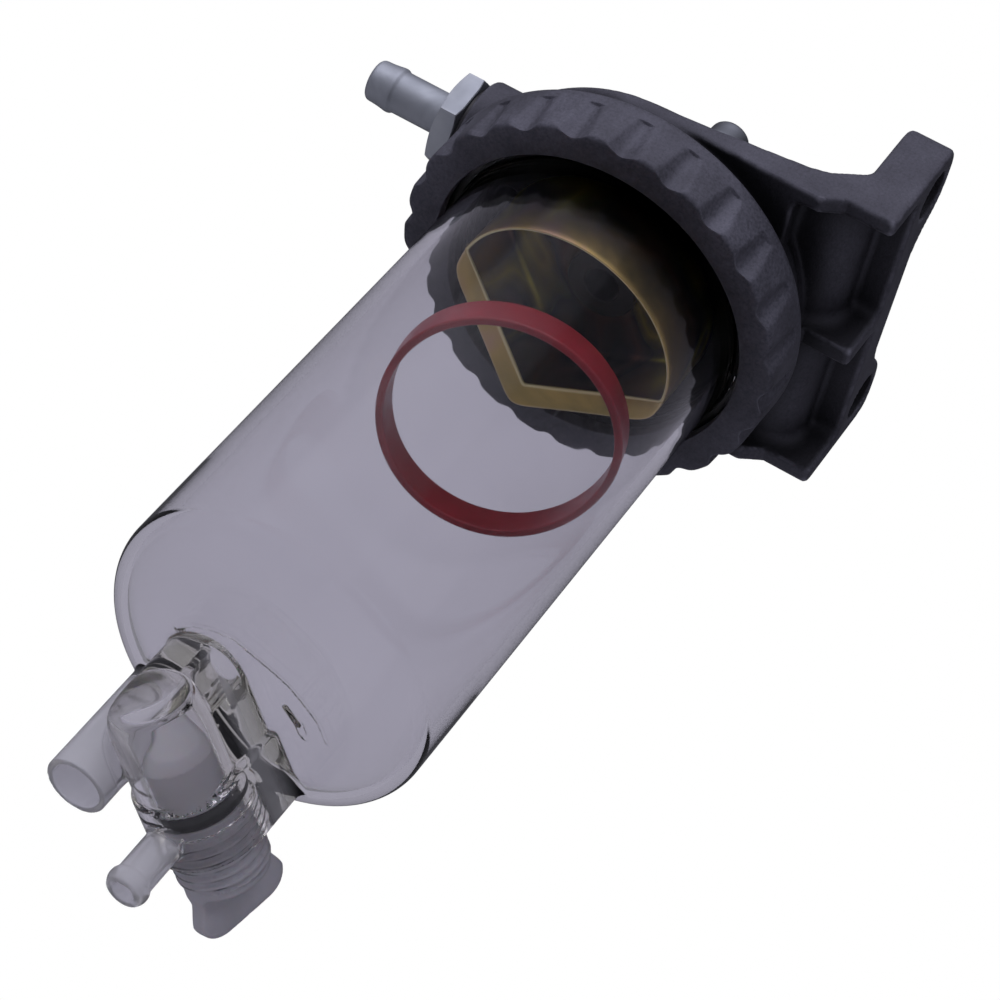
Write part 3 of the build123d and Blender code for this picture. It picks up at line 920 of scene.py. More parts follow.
@dataclass
class SectorRing:
    """Copies of one sector round an axis, welded into a closed piece.

    Attributes:
        name: the finished piece's name.
        count: how many sectors stand round the axis.
        turning: the axis.
        weld: distance within which neighbouring points become one, in metres.
    """

    name: str
    count: int
    turning: Turning
    weld: float = 2e-6

    def tree(self, material: bpy.types.Material) -> bpy.types.NodeTree:
        """Build the node tree that turns one sector into the whole ring.

        Args:
            material: the ring's finish.

        Returns:
            The tree, with the inputs Sector, Count and Weld.
        """
        group = bpy.data.node_groups.new(f"{self.name}_ring", "GeometryNodeTree")
        for name, kind in (("Sector", "Geometry"), ("Count", "Int"), ("Weld", "Float")):
            group.interface.new_socket(name, in_out="INPUT", socket_type=f"NodeSocket{kind}")
        group.interface.new_socket("Ring", in_out="OUTPUT", socket_type="NodeSocketGeometry")
        t = Tree(group)
        given = t.add("NodeGroupInput").outputs
        line = t.add("GeometryNodeMeshLine", {"Offset": (0, 0, 0), "Count": given["Count"]})
        step = t.reckon("DIVIDE", 2 * math.pi, given["Count"])
        angle = t.reckon("MULTIPLY", t.add("GeometryNodeInputIndex").outputs[0], step)
        spin = t.add("ShaderNodeCombineXYZ", {"Z": angle})
        spread = {"Points": line.outputs[0], "Instance": given["Sector"], "Rotation": spin.outputs[0]}
        copies = t.add("GeometryNodeInstanceOnPoints", spread)
        real = t.add("GeometryNodeRealizeInstances", {0: copies.outputs[0]})
        near = {"Geometry": real.outputs[0], "Distance": given["Weld"]}
        weld = t.add("GeometryNodeMergeByDistance", near)
        paint = t.add("GeometryNodeSetMaterial", {"Geometry": weld.outputs[0], "Material": material})
        t.add("NodeGroupOutput", {"Ring": paint.outputs[0]})
        return group

    def build(self, points: Array, faces: Faces, material: bpy.types.Material) -> bpy.types.Object:
        """Turn a sector round its own Z axis into the ring and place it.

        Args:
            points: the sector's points in millimetres about its own Z axis.
            faces: the sector's faces.
            material: the ring's finish.

        Returns:
            The whole ring as a plain mesh.
        """
        mesh = bpy.data.meshes.new(f"{self.name}_sector")
        mesh.from_pydata((np.asarray(points) * MM).tolist(), [], [tuple(f) for f in faces])
        mesh.materials.append(material)
        sector = bpy.data.objects.new(f"{self.name}_sector", mesh)
        bpy.context.scene.collection.objects.link(sector)
        tree = self.tree(material)
        modifier = sector.modifiers.new("ring", "NODES")
        modifier.node_group = tree
        values = {"Count": self.count, "Weld": self.weld}
        for item in tree.interface.items_tree:
            if getattr(item, "in_out", "") == "INPUT" and item.name in values:
                modifier[item.identifier] = values[item.name]
        bpy.context.view_layer.update()
        graph = bpy.context.evaluated_depsgraph_get()
        whole = bpy.data.meshes.new_from_object(sector.evaluated_get(graph))
        sector.modifiers.clear()
        bpy.data.objects.remove(sector, do_unlink=True)
        whole.name = self.name
        whole.transform(self.turning.matrix())
        obj = bpy.data.objects.new(self.name, whole)
        bpy.context.scene.collection.objects.link(obj)
        face_out(obj)
        sharpen(obj)
        return obj


def sector_mesh(outlines: Sequence[Sequence[Triple]]) -> tuple[Array, Faces]:
    """Points and faces of a sector from its outlines, one for each angle step."""
    grid = np.array(outlines)
    return grid.reshape(-1, 3), loop_faces(*grid.shape[:2], closed=False)


# Pieces


@dataclass
class RingNut:
    """The fluted ring nut that holds the bowl.

    Attributes:
        outer: radius over the flutes' crests.
        height: its height.
        bore: radius of the opening for the bowl.
        ledge: height of the ledge under the bowl's flange.
        thread: radius inside the thread's crests.
        thread_depth: depth of the thread.
        pitch: the thread's pitch.
        flutes: how many flutes stand round it.
        wave: width of one flute.
        depth: how deep the flutes cut at the foot and at their end.
        run_out: height at which they end.
        crown: rounding of the upper rim.
        foot: rounding of the lower rim.
    """

    outer: float = 43.3
    height: float = 14.5
    bore: float = 35.7
    ledge: float = 3.45
    thread: float = 39.1
    thread_depth: float = 0.55
    pitch: float = 2.0
    flutes: int = 24
    wave: float = 9.4
    depth: Pair = (1.9, 0.6)
    run_out: float = 10.5
    crown: float = 2.2
    foot: float = 1.3

    def side(self, angle: float, z: Array) -> Array:
        """Radius of the fluted side at an angle from a flute's middle."""
        top = np.clip((z - (self.height - self.crown)) / self.crown, 0, 1)
        bottom = np.clip((self.foot - z) / self.foot, 0, 1)
        rim = self.outer - self.crown * (1 - np.sqrt(1 - 0.86 * top**2))
        rim = rim - 1.0 * (1 - np.sqrt(1 - 0.97 * bottom**2))
        off = self.outer * math.sin(angle) / self.wave
        dip = 0.5 + 0.5 * math.cos(2 * math.pi * off) if abs(off) < 0.5 else 0.0
        deep, shallow = self.depth
        lean = (deep - shallow) / self.run_out
        end = np.clip((z - self.run_out + 0.35) / 0.7, 0, 1)
        flute = self.outer - deep * dip + lean * z + 1.2 * end**2 * (3 - 2 * end)
        return smooth_min(rim, flute, 0.28)

    def inside(self) -> list[Pair]:
        """The outline's inner side from the top down: chamfer, thread, ledge and bore."""
        crest, root = self.thread, self.thread + self.thread_depth
        points = [(40.9, self.height - 0.03), (crest + 0.8, self.height - 0.1), (crest, self.height - 0.9)]
        z = self.height - 1.6
        while z > self.ledge + 1.6:
            points += [(crest, z), (root, z - self.thread_depth), (root, z - 0.75), (crest, z - 1.3)]
            z -= self.pitch
        points += [(crest, self.ledge + 0.4), (crest - 0.3, self.ledge)]
        points += [(self.bore + 0.2, self.ledge), (self.bore, self.ledge - 0.2), (self.bore, 0.55)]
        return points + [(self.bore + 0.16, 0.2), (self.bore + 0.55, 0.0)]

    def sector(self) -> tuple[Array, Faces]:
        """One flute's share of the nut."""
        half = math.pi / self.flutes
        foot = self.foot * (1 - np.cos(np.linspace(0, math.pi / 2, 7)))
        flank = np.concatenate([np.linspace(1.8, 9.8, 15), np.linspace(10.0, 11.2, 13), [11.6, 12.0]])
        crown = self.height - self.crown + self.crown * np.sin(np.linspace(0.1, math.pi / 2 * 0.93, 8))
        side_z = np.concatenate([foot, flank, crown])
        columns = []
        for angle in np.linspace(-half, half, 29):
            radius = self.side(angle, side_z)
            outline = [(radius[0] - 0.5, 0.0)] + list(zip(radius, side_z))
            outline += [(radius[-1] - 0.5, self.height - 0.02)] + self.inside()
            columns.append([(r * math.cos(angle), r * math.sin(angle), h) for r, h in outline])
        return sector_mesh(columns)

    def build(self, looks: Finishes) -> None:
        """Make the nut and dress it."""
        points, faces = self.sector()
        nut = SectorRing("fluted_nut", self.flutes, BOWL_AXIS).build(points, faces, looks.nut)
        dress(nut, looks.nut, Body.NUT, Slot.CAST, "ring_nut")


@dataclass
class Head:
    """The head casting with its bracket, neck and bosses.

    Attributes:
        half: half its width, and the plate's radius.
        face_y: the bracket's rear face.
        plate: lower and upper side of the plate.
        wall_front: front of the wall between the ears.
        ear_top: top of the ears.
        ear_inner: inner edge of an ear at the shelf.
        shelf: lower and upper side of the shelf between the ears.
        foot: the bracket's lowest height at the wall.
        pocket: front, middle and half width of each recess between the gussets.
        recess_y: front of the recess behind the wall.
        recess_roof: height that the recesses reach up to.
        bolt: place across, height and radius of the bolt holes.
        neck_r: radius of the neck inside its thread.
        thread_band: heights between which the neck is threaded.
        first_crest: height of a thread crest.
        pitch: the thread's pitch.
        boss: radius of both bosses.
        inlet: height, rear end and seat of the front boss.
        outlet: height of the upper boss's seat.
        duct: radius of the fuel's passages.
        tapped: radius of the tapped holes.
        tapping: their depth.
        cell: size of the meshing grid.
    """

    half: float = 39.0
    face_y: float = 51.3
    plate: Pair = (19.0, 23.0)
    wall_front: float = 40.7
    ear_top: float = 52.5
    ear_inner: float = 17.0
    shelf: Pair = (35.5, 44.5)
    foot: float = 22.2
    pocket: Triple = (31.0, 18.4, 16.2)
    recess_y: float = 44.5
    recess_roof: float = 24.5
    bolt: Triple = (30.0, 45.0, 5.5)
    neck_r: float = 38.0
    thread_band: Pair = (8.7, 14.6)
    first_crest: float = 9.7
    pitch: float = 2.0
    boss: float = 12.0
    inlet: Triple = (31.0, 20.0, 44.5)
    outlet: float = 41.0
    duct: float = 4.0
    tapped: float = 7.0
    tapping: float = 11.0
    cell: float = 0.75

    def rise(self, y: Array) -> Array:
        """Height of the plate's upper side behind the bowl's axis."""
        heights = [self.plate[1], 23.7, 24.9, 26.4, 27.7, 30.3, 32.6]
        return np.interp(y, [0, 10, 20, 30, 34, 37.5, self.wall_front], heights)

    def pockets(self, x: Array, y: Array, z: Array) -> Array:
        """The two recesses between the gussets."""
        front, middle, half = self.pocket
        behind = smooth_max(self.recess_y - y, z - self.shelf[0], 1.5)
        hollow = smooth_min(z - self.recess_roof, behind, 9.4)
        hollow = smooth_max(hollow, front - y, 2.0)
        return smooth_max(hollow, np.abs(np.abs(x) - middle) - half, 2.6)

    def bracket(self, x: Array, y: Array, z: Array) -> Array:
        """Plate, wall, ears and gussets in one.

        Args:
            x: position across the bolts.
            y: position towards the wall.
            z: height.

        Returns:
            The distance of each point from the bracket.
        """
        ax = np.abs(x)
        plan = np.where(y < 0, np.hypot(x, y) - self.half, ax - self.half)
        upper = smooth_min(z - self.rise(y), self.wall_front - y, 1.6)
        lower = np.interp(y, [36.0, self.wall_front], [self.plate[0], self.foot]) - z
        solid = smooth_max(upper, lower, 0.8)
        solid = smooth_max(solid, -self.pockets(x, y, z), 1.1)
        ear = smooth_max(z - self.ear_top, (self.ear_inner + z - self.shelf[1] - ax) * 0.707, 3.0)
        crest = smooth_min(z - self.shelf[1], ear, 4.2)
        crest = smooth_max(crest, ax - self.half, np.interp(z, [40.0, 47.0], [0.1, 4.8]))
        solid = smooth_max(solid, crest, 1.5)
        solid = smooth_max(solid, y - self.face_y, 1.3)
        return smooth_max(solid, plan, np.interp(y, [-4.0, 16.0], [2.9, 1.0]))

    def neck(self, rho: Array, z: Array) -> Array:
        """The threaded neck that the ring nut screws on."""
        crest = 0.5 + 0.5 * np.cos((z - self.first_crest) * 2 * math.pi / self.pitch)
        radius = self.neck_r + np.where(slab(z, *self.thread_band) < 0, crest, 0.0)
        return rod(rho, z, radius, 8.5, 22.0, 0.4)

    def ports(self, x: Array, y: Array, z: Array) -> list[Array]:
        """Everything that is drilled or tapped into the casting.

        Args:
            x: position across the bolts.
            y: position towards the wall.
            z: height.

        Returns:
            The distances from each hole.
        """
        rho = np.hypot(x, y)
        level, _, seat = self.inlet
        front = np.hypot(x, z - level)
        across, height, bolt_r = self.bolt
        return [
            rod(rho, z, self.duct, 5.0, 50.0),
            rod(rho, z, self.tapped, self.outlet - self.tapping, 50.0),
            rod(rho, z, 5.0, 5.0, 17.0),
            rod(front, -y, self.duct, 25.0, 50.0),
            rod(front, -y, self.tapped, seat - self.tapping, 50.0),
            rod(np.hypot(x, y + 29.0), z, self.duct, 10.0, level),
            rod(np.hypot(np.abs(x) - across, z - height), y, bolt_r, 30.0, 60.0),
        ]

    def shape(self, p: Array) -> Array:
        """Distance to the whole casting.

        Args:
            p: points in the bowl's frame.

        Returns:
            The distance of each point from the casting.
        """
        x, y, z = p[:, 0], p[:, 1], p[:, 2]
        rho = np.hypot(x, y)
        solid = smooth_min(self.bracket(x, y, z), self.neck(rho, z), 0.9)
        rear = np.maximum(rod(rho, z, self.neck_r, 18.0, 25.5), 30.0 - y)
        solid = smooth_min(solid, rear, 0.9)
        dome = smooth_max(bulge(rho, z - 21.0, 31.0, 17.5), 21.0 - z, 0.5)
        solid = smooth_min(solid, dome, 4.0)
        solid = smooth_min(solid, rod(rho, z, self.boss, 23.0, self.outlet, 0.7), 3.0)
        level, round_end, seat = self.inlet
        front = np.hypot(x, z - level)
        capsule = np.sqrt(front**2 + np.maximum(0.0, y + round_end) ** 2) - self.boss
        solid = smooth_min(solid, smooth_max(capsule, -y - seat, 0.9), 3.0)
        hollow = rod(rho, z, 33.5, 0.0, 16.0, 1.5)
        spigot = rod(rho, z, 11.0, 9.0, 18.0, 0.4)
        solid = smooth_max(solid, -smooth_max(hollow, -spigot, 1.2), 0.3)
        for port in self.ports(x, y, z):
            solid = smooth_max(solid, -port, 0.5)
        depth = np.abs(y + 0.5 * (seat - self.face_y)) - 0.5 * (seat + self.face_y)
        sides = np.maximum(np.abs(x) - self.half, depth)
        return np.maximum(solid, np.maximum(sides, z - self.ear_top))

    def build(self, looks: Finishes) -> None:
        """Make the casting and dress it."""
        xs = steps(-40.0, 40.0, self.cell)
        ys = steps(-self.inlet[2] - 1.1, self.face_y + 1.1, self.cell)
        zs = steps(7.6, self.ear_top + 1.1, self.cell)
        casting = ImplicitSolid(self.shape, xs, ys, zs).build("casting")
        dress(casting, looks.cast, Body.HEAD, Slot.CAST, "head_casting")


@dataclass
class HoseFitting:
    """A hexagon fitting with a barbed hose end and its washer.

    Attributes:
        name: which of the two it is.
        turning: its axis, from the head outwards.
        across: width across the hexagon's flats.
        washer_thick: thickness of the washer under it.
        hex_thick: thickness of the hexagon.
        length: length of the tube beyond the hexagon.
        tube: the tube's radius.
        barb: radius of the barb's ridge.
        bore: radius of its passage.
        ridge: the ridge's form, as distances from the tip and shares of its height.
    """

    name: str
    turning: Turning
    across: float = 20.0
    washer_thick: float = 1.4
    hex_thick: float = 5.0
    length: float = 19.3
    tube: float = 4.75
    barb: float = 5.2
    bore: float = 3.2
    ridge: tuple[Pair, ...] = (
        (6.6, 0.25), (6.2, 0.8), (5.9, 0.97), (5.5, 1.0), (5.1, 0.93), (4.2, 0.6), (3.0, 0.25), (2.0, 0.08),
    )

    def outline(self, angle: float) -> list[Pair]:
        """The fitting's outline at an angle round its axis.

        Args:
            angle: angle from the middle of a flat, in radians.

        Returns:
            The outline as (radius, height) pairs.
        """
        flat = self.across / 2 / math.cos(angle)
        low, high = self.washer_thick, self.washer_thick + self.hex_thick
        slope = 0.42
        top_r = self.across / 2 - 0.25
        tip = high + self.length
        points = [(self.bore, -9.8), (6.6, -9.8), (6.95, -9.4), (6.95, low)]
        points += [(top_r - 1.2, low), (top_r - 0.15, low)]
        under = max(0.0, flat - top_r - 0.7) * 0.35
        points += [(flat - 0.18, low + under + 0.05), (flat, low + under + 0.25)]
        over = max(0.0, flat - top_r - 0.25) * slope
        points += [(flat, high - over - 0.35), (flat - 0.1, high - over - 0.1), (flat - 0.35, high - over)]
        points += [(top_r - 0.6, high), (top_r - 1.4, high)]
        points += [(6.2, high), (5.6, high + 0.12), (5.25, high + 0.5)]
        points += [(4.98, high + 1.1), (4.8, high + 1.9)]
        points += [(self.tube, high + 3.0), (self.tube, tip - 7.0)]
        points += [(self.tube + (self.barb - self.tube) * share, tip - back) for back, share in self.ridge]
        for a in (0, 20, 40, 60, 80):
            s = math.radians(a)
            points.append((self.tube - 1.0 * (1 - math.cos(s)), tip - 1.1 + 1.08 * math.sin(s)))
        return points + [(self.tube - 1.05, tip), (self.bore + 0.2, tip - 0.02), (self.bore, tip - 0.25)]

    def build(self, looks: Finishes) -> None:
        """Make the fitting and its washer and dress them."""
        angles = np.radians(np.linspace(-30, 30, 17))
        columns = [[(r * math.cos(a), r * math.sin(a), h) for r, h in self.outline(a)] for a in angles]
        points, faces = sector_mesh(columns)
        # The outlet fitting takes the darker zinc as painted shade under the head's dome.
        plating = looks.shadowed if self.name == "outlet" else looks.zinc
        fitting = SectorRing(f"{self.name}_hose_fitting", 6, self.turning).build(points, faces, plating)
        sharpen(fitting, 28.0)
        dress(fitting, plating, Body.HEAD, Slot.ZINC, f"{self.name}_fitting")
        section = rounded([(7.2, 0.02, 0.2), (9.6, 0.02, 0.35), (9.6, 1.36, 0.35), (7.2, 1.36, 0.2)])
        washer = turned(f"{self.name}_seal_washer", section, self.turning)
        dress(washer, looks.washer, Body.HEAD, Slot.WASHER, f"{self.name}_washer")


@dataclass
class BaffleCup:
    """The plated sheet cup under the head, with its vee-shaped lip.

    Attributes:
        radius: outer radius of its round side.
        top: height of its upper face.
        bottom: height of its lip.
        sheet: thickness of the sheet.
        hole: radius of the hole for the rivet.
        turn: direction of the vee's point, in degrees.
        angle: the vee's angle.
        inner_tip: distance of the lip's inner point from the axis.
        band: width of the lip.
    """

    radius: float = 25.5
    top: float = 9.0
    bottom: float = -12.2
    sheet: float = 0.6
    hole: float = 5.05
    turn: float = 194.1
    angle: float = 97.2
    inner_tip: float = 17.6
    band: float = 6.4

    def reach(self, angle: Array, tip: float, radius: float, k: float) -> Array:
        """Distance from the axis to the outline of a circle cut by the vee.

        Args:
            angle: directions to look in.
            tip: distance of the vee's point from the axis.
            radius: the circle's radius.
            k: size of the rounding between them.

        Returns:
            The distance in each direction.
        """
        half = math.radians(self.angle / 2)
        turn = math.radians(self.turn)
        flat = tip * math.sin(half)
        out = np.full_like(angle, radius)
        for way in (1, -1):
            normal = turn + way * (math.pi / 2 - half)
            lean = np.cos(angle - normal)
            line = np.where(lean > 0.05, flat / np.maximum(lean, 0.05), 1e3)
            out = smooth_min(out, line, k)
        return out

    def edges(self, angles: Array) -> tuple[Array, Array, Array]:
        """Radii of the cup's outer side, inner side and lip in the given directions."""
        half_vee = math.sin(math.radians(self.angle / 2))
        outer_tip = self.inner_tip + self.band / half_vee
        inner_r = self.radius - self.sheet
        outer = self.reach(angles, outer_tip, self.radius, 2.4)
        wall = self.reach(angles, outer_tip - self.sheet / half_vee, inner_r, 2.0)
        return outer, wall, np.minimum(self.reach(angles, self.inner_tip, inner_r, 1.0), wall)

    def outline(self, angles: Array) -> list[tuple[Array, float | Array]]:
        """The sheet's closed outline, from the hole out, down, in over the lip and back up.

        Args:
            angles: directions round the axis.

        Returns:
            Radius and height of each outline point in every direction.
        """
        outer, wall, lip = self.edges(angles)
        lo, hi, t = self.bottom, self.top, self.sheet
        flat = np.clip((wall - lip) / 2.0, 0, 1)
        hole = np.full_like(outer, self.hole)
        rows = [(hole, hi), (outer - 2.4, hi)]
        for a in np.radians(np.linspace(0, 90, 6)):
            rows.append((outer - 2.2 + 2.2 * math.sin(a), hi - 2.2 + 2.2 * math.cos(a)))
        rows += [(outer, h) for h in np.linspace(hi - 5, lo + 1.5, 8)]
        for a in np.radians((0, 22, 45, 68, 90)):
            r = 0.15 + 1.15 * flat
            rows.append((outer - r * (1 - math.cos(a)), lo + r * (1 - math.sin(a))))
        rows += [(lip + np.minimum(0.9, (outer - lip) * 0.6), lo)]
        rows += [(lip + np.minimum(0.45, (outer - lip) * 0.4), lo)]
        rows += [(lip + np.minimum(0.15, (outer - lip) * 0.2), lo + 0.03)]
        rows += [(lip, lo + 0.16), (lip, lo + t - 0.12)]
        rows += [(lip + np.minimum(0.2, (wall - lip) * 0.5), lo + t)]
        rows += [(np.maximum(wall - 0.3 * flat, lip), lo + t)]
        rows += [(wall, lo + t + 0.4 * flat + 0.02), (wall, hi - 2.4)]
        for a in np.radians((30, 60, 90)):
            rows.append((wall - 1.3 + 1.3 * math.cos(a), hi - 2.4 + 1.4 * math.sin(a)))
        return rows + [(hole, hi - t)]

    def paint_shade_and_highlight(self, cup: bpy.types.Object) -> None:
        """Mark painted shade by how deep each point lies in the cup or how far up its wall, and a painted
        highlight on the lip's rim.

        Args:
            cup: the finished sheet cup.
        """
        spots = np.array([v.co for v in cup.data.vertices]) / MM - SHIFT
        normals = np.array([v.normal for v in cup.data.vertices])
        radius = np.hypot(spots[:, 0], spots[:, 1])
        outward = (normals[:, 0] * spots[:, 0] + normals[:, 1] * spots[:, 1]) / np.maximum(radius, 1e-6)
        # Painted shade: darker with height, quickly inside the cup and slowly up its outer wall towards the
        # nut.
        inside = np.clip((spots[:, 2] - self.bottom - self.sheet) / 1.5, 0, 1)
        outside = np.clip((spots[:, 2] - self.bottom - 3.0) / 8.0, 0, 1)
        _, _, lip = self.edges(np.arctan2(spots[:, 1], spots[:, 0]))
        # Painted highlight: a pale rim along the lip's edge.
        pale_edge = (radius < lip + 0.5) & (spots[:, 2] < self.bottom + self.sheet + 0.02)
        marks = {
            "deep": np.where(outward < 0.2, inside, outside * 0.9),
            "rim": np.where(pale_edge, 0.85, 0.0),
        }
        for name, values in marks.items():
            mark = cup.data.attributes.new(name, "FLOAT", "POINT")
            mark.data.foreach_set("value", values.astype(np.float32))

    def rivet(self, looks: Finishes) -> None:
        """Make the hollow rivet that holds the cup and dress it."""
        flange = [(4.0, 6.8, 0.3), (8.0, 6.8, 0.5), (8.0, 8.0, 0.3), (4.98, 8.0, 0.1)]
        shank = [(4.98, 15.95, 0.1), (4.0, 15.95, 0.1)]
        rivet = turned("rivet", rounded(flange + shank), BOWL_AXIS)
        sharpen(rivet)
        dress(rivet, looks.shaded, Body.HEAD, Slot.ZINC, "cup_rivet")

    def build(self, looks: Finishes) -> None:
        """Make the cup and its rivet and dress them."""
        angles = np.linspace(0, 2 * math.pi, 360, endpoint=False)
        points = []
        for radius, height in self.outline(angles):
            height = np.broadcast_to(height, radius.shape)
            points.append(np.stack([radius * np.cos(angles), radius * np.sin(angles), height], axis=1))
        grid = np.array(points).transpose(1, 0, 2)
        cup = make_object("sheet_cup", grid.reshape(-1, 3), loop_faces(*grid.shape[:2], closed=True))
        face_out(cup)
        self.paint_shade_and_highlight(cup)
        sharpen(cup, 40.0)
        dress(cup, looks.yellow, Body.HEAD, Slot.YELLOW, "baffle_cup")
        self.rivet(looks)


@dataclass
class Bowl:
    """The clear bowl with the drain moulded under it.

    Attributes:
        radius: its outer radius.
        wall: thickness of its wall.
        floor: thickness of its floor.
        bottom: height of its underside.
        shoulder: width and height of the rounding under its wall.
        block: half width of the drain's block.
        ledge: half width of the ledge under the bowl.
        ledge_reach: where the ledge starts and ends along the drain's axis.
        socket: radius of the socket for the plug.
        spout: place along the drain's axis, radius and bead radius of the spout.
        tube: place along and across, and radius, of the blind side tube.
        line: points of the curved mould line, along and across the drain.
        line_half: half width of that line.
        slot: start and run of the mould's slot, and its half width.
        gate: middle of the gate's mark.
        drain: the drain's axes.
        cell: size of the meshing grid.
    """

    radius: float = 33.5
    wall: float = 2.5
    floor: float = 2.7
    bottom: float = -124.0
    shoulder: Pair = (11.5, 9.0)
    block: float = 9.9
    ledge: float = 10.7
    ledge_reach: Pair = (10.5, 25.5)
    socket: float = 10.7
    spout: Triple = (17.6, 3.65, 4.15)
    tube: Triple = (5.0, 14.0, 6.3)
    line: tuple[Pair, ...] = (
        (-11.9, 3.5), (-13.0, -0.8), (-12.7, -5.4), (-11.3, -9.8), (-8.0, -13.0), (-4.7, -16.3),
        (-1.7, -18.8), (1.8, -20.5), (6.1, -22.2), (10.8, -22.3),
    )
    line_half: float = 0.45
    slot: tuple[Pair, Pair, float] = ((3.8, -15.7), (3.6, -1.2), 0.72)
    gate: Pair = (8.6, -17.4)
    drain: DrainFrame = field(default_factory=DrainFrame)
    cell: float = 0.52

    def cup(self, rho: Array, z: Array, radius: float, bottom: float, wide: float, tall: float) -> Array:
        """A round cup outline with an elliptic shoulder, open upwards.

        Args:
            rho: distance of each point from the axis.
            z: height of each point.
            radius: the cup's radius.
            bottom: height of its underside.
            wide: width of the shoulder.
            tall: height of the shoulder.

        Returns:
            The distance of each point from the cup.
        """
        foot = bottom + tall
        flat = bottom - z
        corner = bulge(np.maximum(rho - (radius - wide), 0), z - foot, wide, tall)
        low = np.where(rho > radius - wide, corner, flat)
        return np.where(z < foot, low, rho - radius)

    def outside(self, p: Array) -> Array:
        """The bowl's and drain's outer form, not hollowed.

        Args:
            p: points in the bowl's frame.

        Returns:
            The distance of each point from that form.
        """
        rho, z = np.hypot(p[:, 0], p[:, 1]), p[:, 2]
        body = np.maximum(self.cup(rho, z, self.radius, self.bottom, *self.shoulder), z - 7.0)
        flange = rod(rho, z, 38.6, 3.5, 7.0, 0.5)
        body = smooth_min(body, flange, 1.0)
        u, v, w = self.drain.split(p)
        across = np.abs(v)
        arch = np.where(w < 0, np.hypot(v, w), across) - self.block
        plan = np.where(u < -1, np.hypot(u + 1, v), across) - self.block
        block = smooth_max(arch, plan, 5.0)
        block = smooth_max(block, u - 11.0, 1.6)
        block = np.maximum(block, w - 16.0)
        ledge = smooth_max(across - self.ledge, slab(u, *self.ledge_reach), 0.9)
        ledge = np.maximum(ledge, slab(w, -0.5, 17.0))
        ledge = smooth_max(ledge, rho - 30.0, 1.5)
        socket = rod(np.hypot(v, w), u, self.socket, 10.5, 25.0, 0.9)
        spout_u, spout_r, bead_r = self.spout
        beside = np.hypot(u - spout_u, v)
        spout = rod(beside, w, spout_r, -23.88, -4.0, 0.5)
        bead = rod(beside, w, bead_r, -23.2, -20.8, 1.1)
        tube_u, tube_v, tube_r = self.tube
        tube = rod(np.hypot(u - tube_u, v - tube_v), w, tube_r, -12.9, 15.5, 0.35)
        drain = smooth_min(block, socket, 1.0)
        drain = smooth_min(drain, ledge, 0.8)
        drain = smooth_min(drain, smooth_min(spout, bead, 0.8), 1.6)
        drain = smooth_min(drain, tube, 1.4)
        return smooth_min(body, drain, 1.6)

    def marks(self, p: Array) -> Array:
        """The mould's fine marks under the bowl: a curved line, a slot and the gate.

        Args:
            p: points in the bowl's frame.

        Returns:
            The distance of each point from the marks, 9 where none is near.
        """
        out = np.full(len(p), 9.0)
        near = (np.abs(p[:, 2] - self.bottom) < 1.6) & (np.hypot(p[:, 0], p[:, 1]) < 30.0)
        if not near.any():
            return out
        u, v, _ = self.drain.split(p[near])
        depth = p[near, 2] - self.bottom
        flat = np.full(len(u), 9.0)
        for (ua, va), (ub, vb) in zip(self.line[:-1], self.line[1:]):
            du, dv = ub - ua, vb - va
            t = np.clip(((u - ua) * du + (v - va) * dv) / (du * du + dv * dv), 0, 1)
            flat = np.minimum(flat, np.hypot(u - ua - t * du, v - va - t * dv))
        curve = np.hypot(flat, depth * 1.8) - self.line_half
        (us, vs), (du, dv), half = self.slot
        t = np.clip((u - us) / du, 0, 1)
        slot = np.hypot(np.hypot(u - us - t * du, v - vs - t * dv), depth * 0.8) - half
        gate = np.hypot(np.abs(bulge(u - self.gate[0], v - self.gate[1], 2.3, 1.0)), depth) - 0.22
        out[near] = np.minimum(np.minimum(curve, slot), gate)
        return out

    def hollow(self, p: Array) -> Array:
        """Everything cut out of the bowl and the drain.

        Args:
            p: points in the bowl's frame.

        Returns:
            The distance of each point from the hollows.
        """
        rho, z = np.hypot(p[:, 0], p[:, 1]), p[:, 2]
        wide, tall = self.shoulder
        inside = self.cup(rho, z, self.radius - self.wall, self.bottom + self.floor, wide - 2, tall - 2)
        u, v, w = self.drain.split(p)
        around = np.hypot(v, w)
        bores = smooth_min(rod(around, u, 7.2, -7.0, 26.0, 1.2), rod(around, u, 8.0, 13.0, 26.0), 0.3)
        bores = np.minimum(bores, rod(around, u, 9.08, 18.5, 27.0, 0.3))
        bores = smooth_min(bores, rod(np.hypot(u + 1.0, v), w, 3.2, 0.0, 18.0), 0.5)
        bores = smooth_min(bores, rod(np.hypot(u - self.spout[0], v), w, 2.2, -25.0, 0.0), 0.4)
        tube_u, tube_v, _ = self.tube
        blind = rod(np.hypot(u - tube_u, v - tube_v), w, 5.0, -14.0, 12.1, 1.0)
        return np.minimum(np.minimum(smooth_min(inside, bores, 0.6), blind), self.marks(p))

    def shape(self, p: Array) -> Array:
        """Distance to the clear solid."""
        return smooth_max(self.outside(p), -self.hollow(p), 0.35)

    def build(self, looks: Finishes) -> None:
        """Make the bowl and dress it."""
        xs = steps(-39.6, 39.6, self.cell)
        low = steps(-162.8, -111.0, self.cell)
        middle = steps(-111.0, 1.0, 5.6)[1:]
        top = steps(1.0, 8.0, 0.5)[1:]
        bowl = ImplicitSolid(self.shape, xs, xs, np.concatenate([low, middle, top])).build("clear_bowl")
        dress(bowl, looks.clear, Body.BOWL, Slot.CLEAR, "bowl")


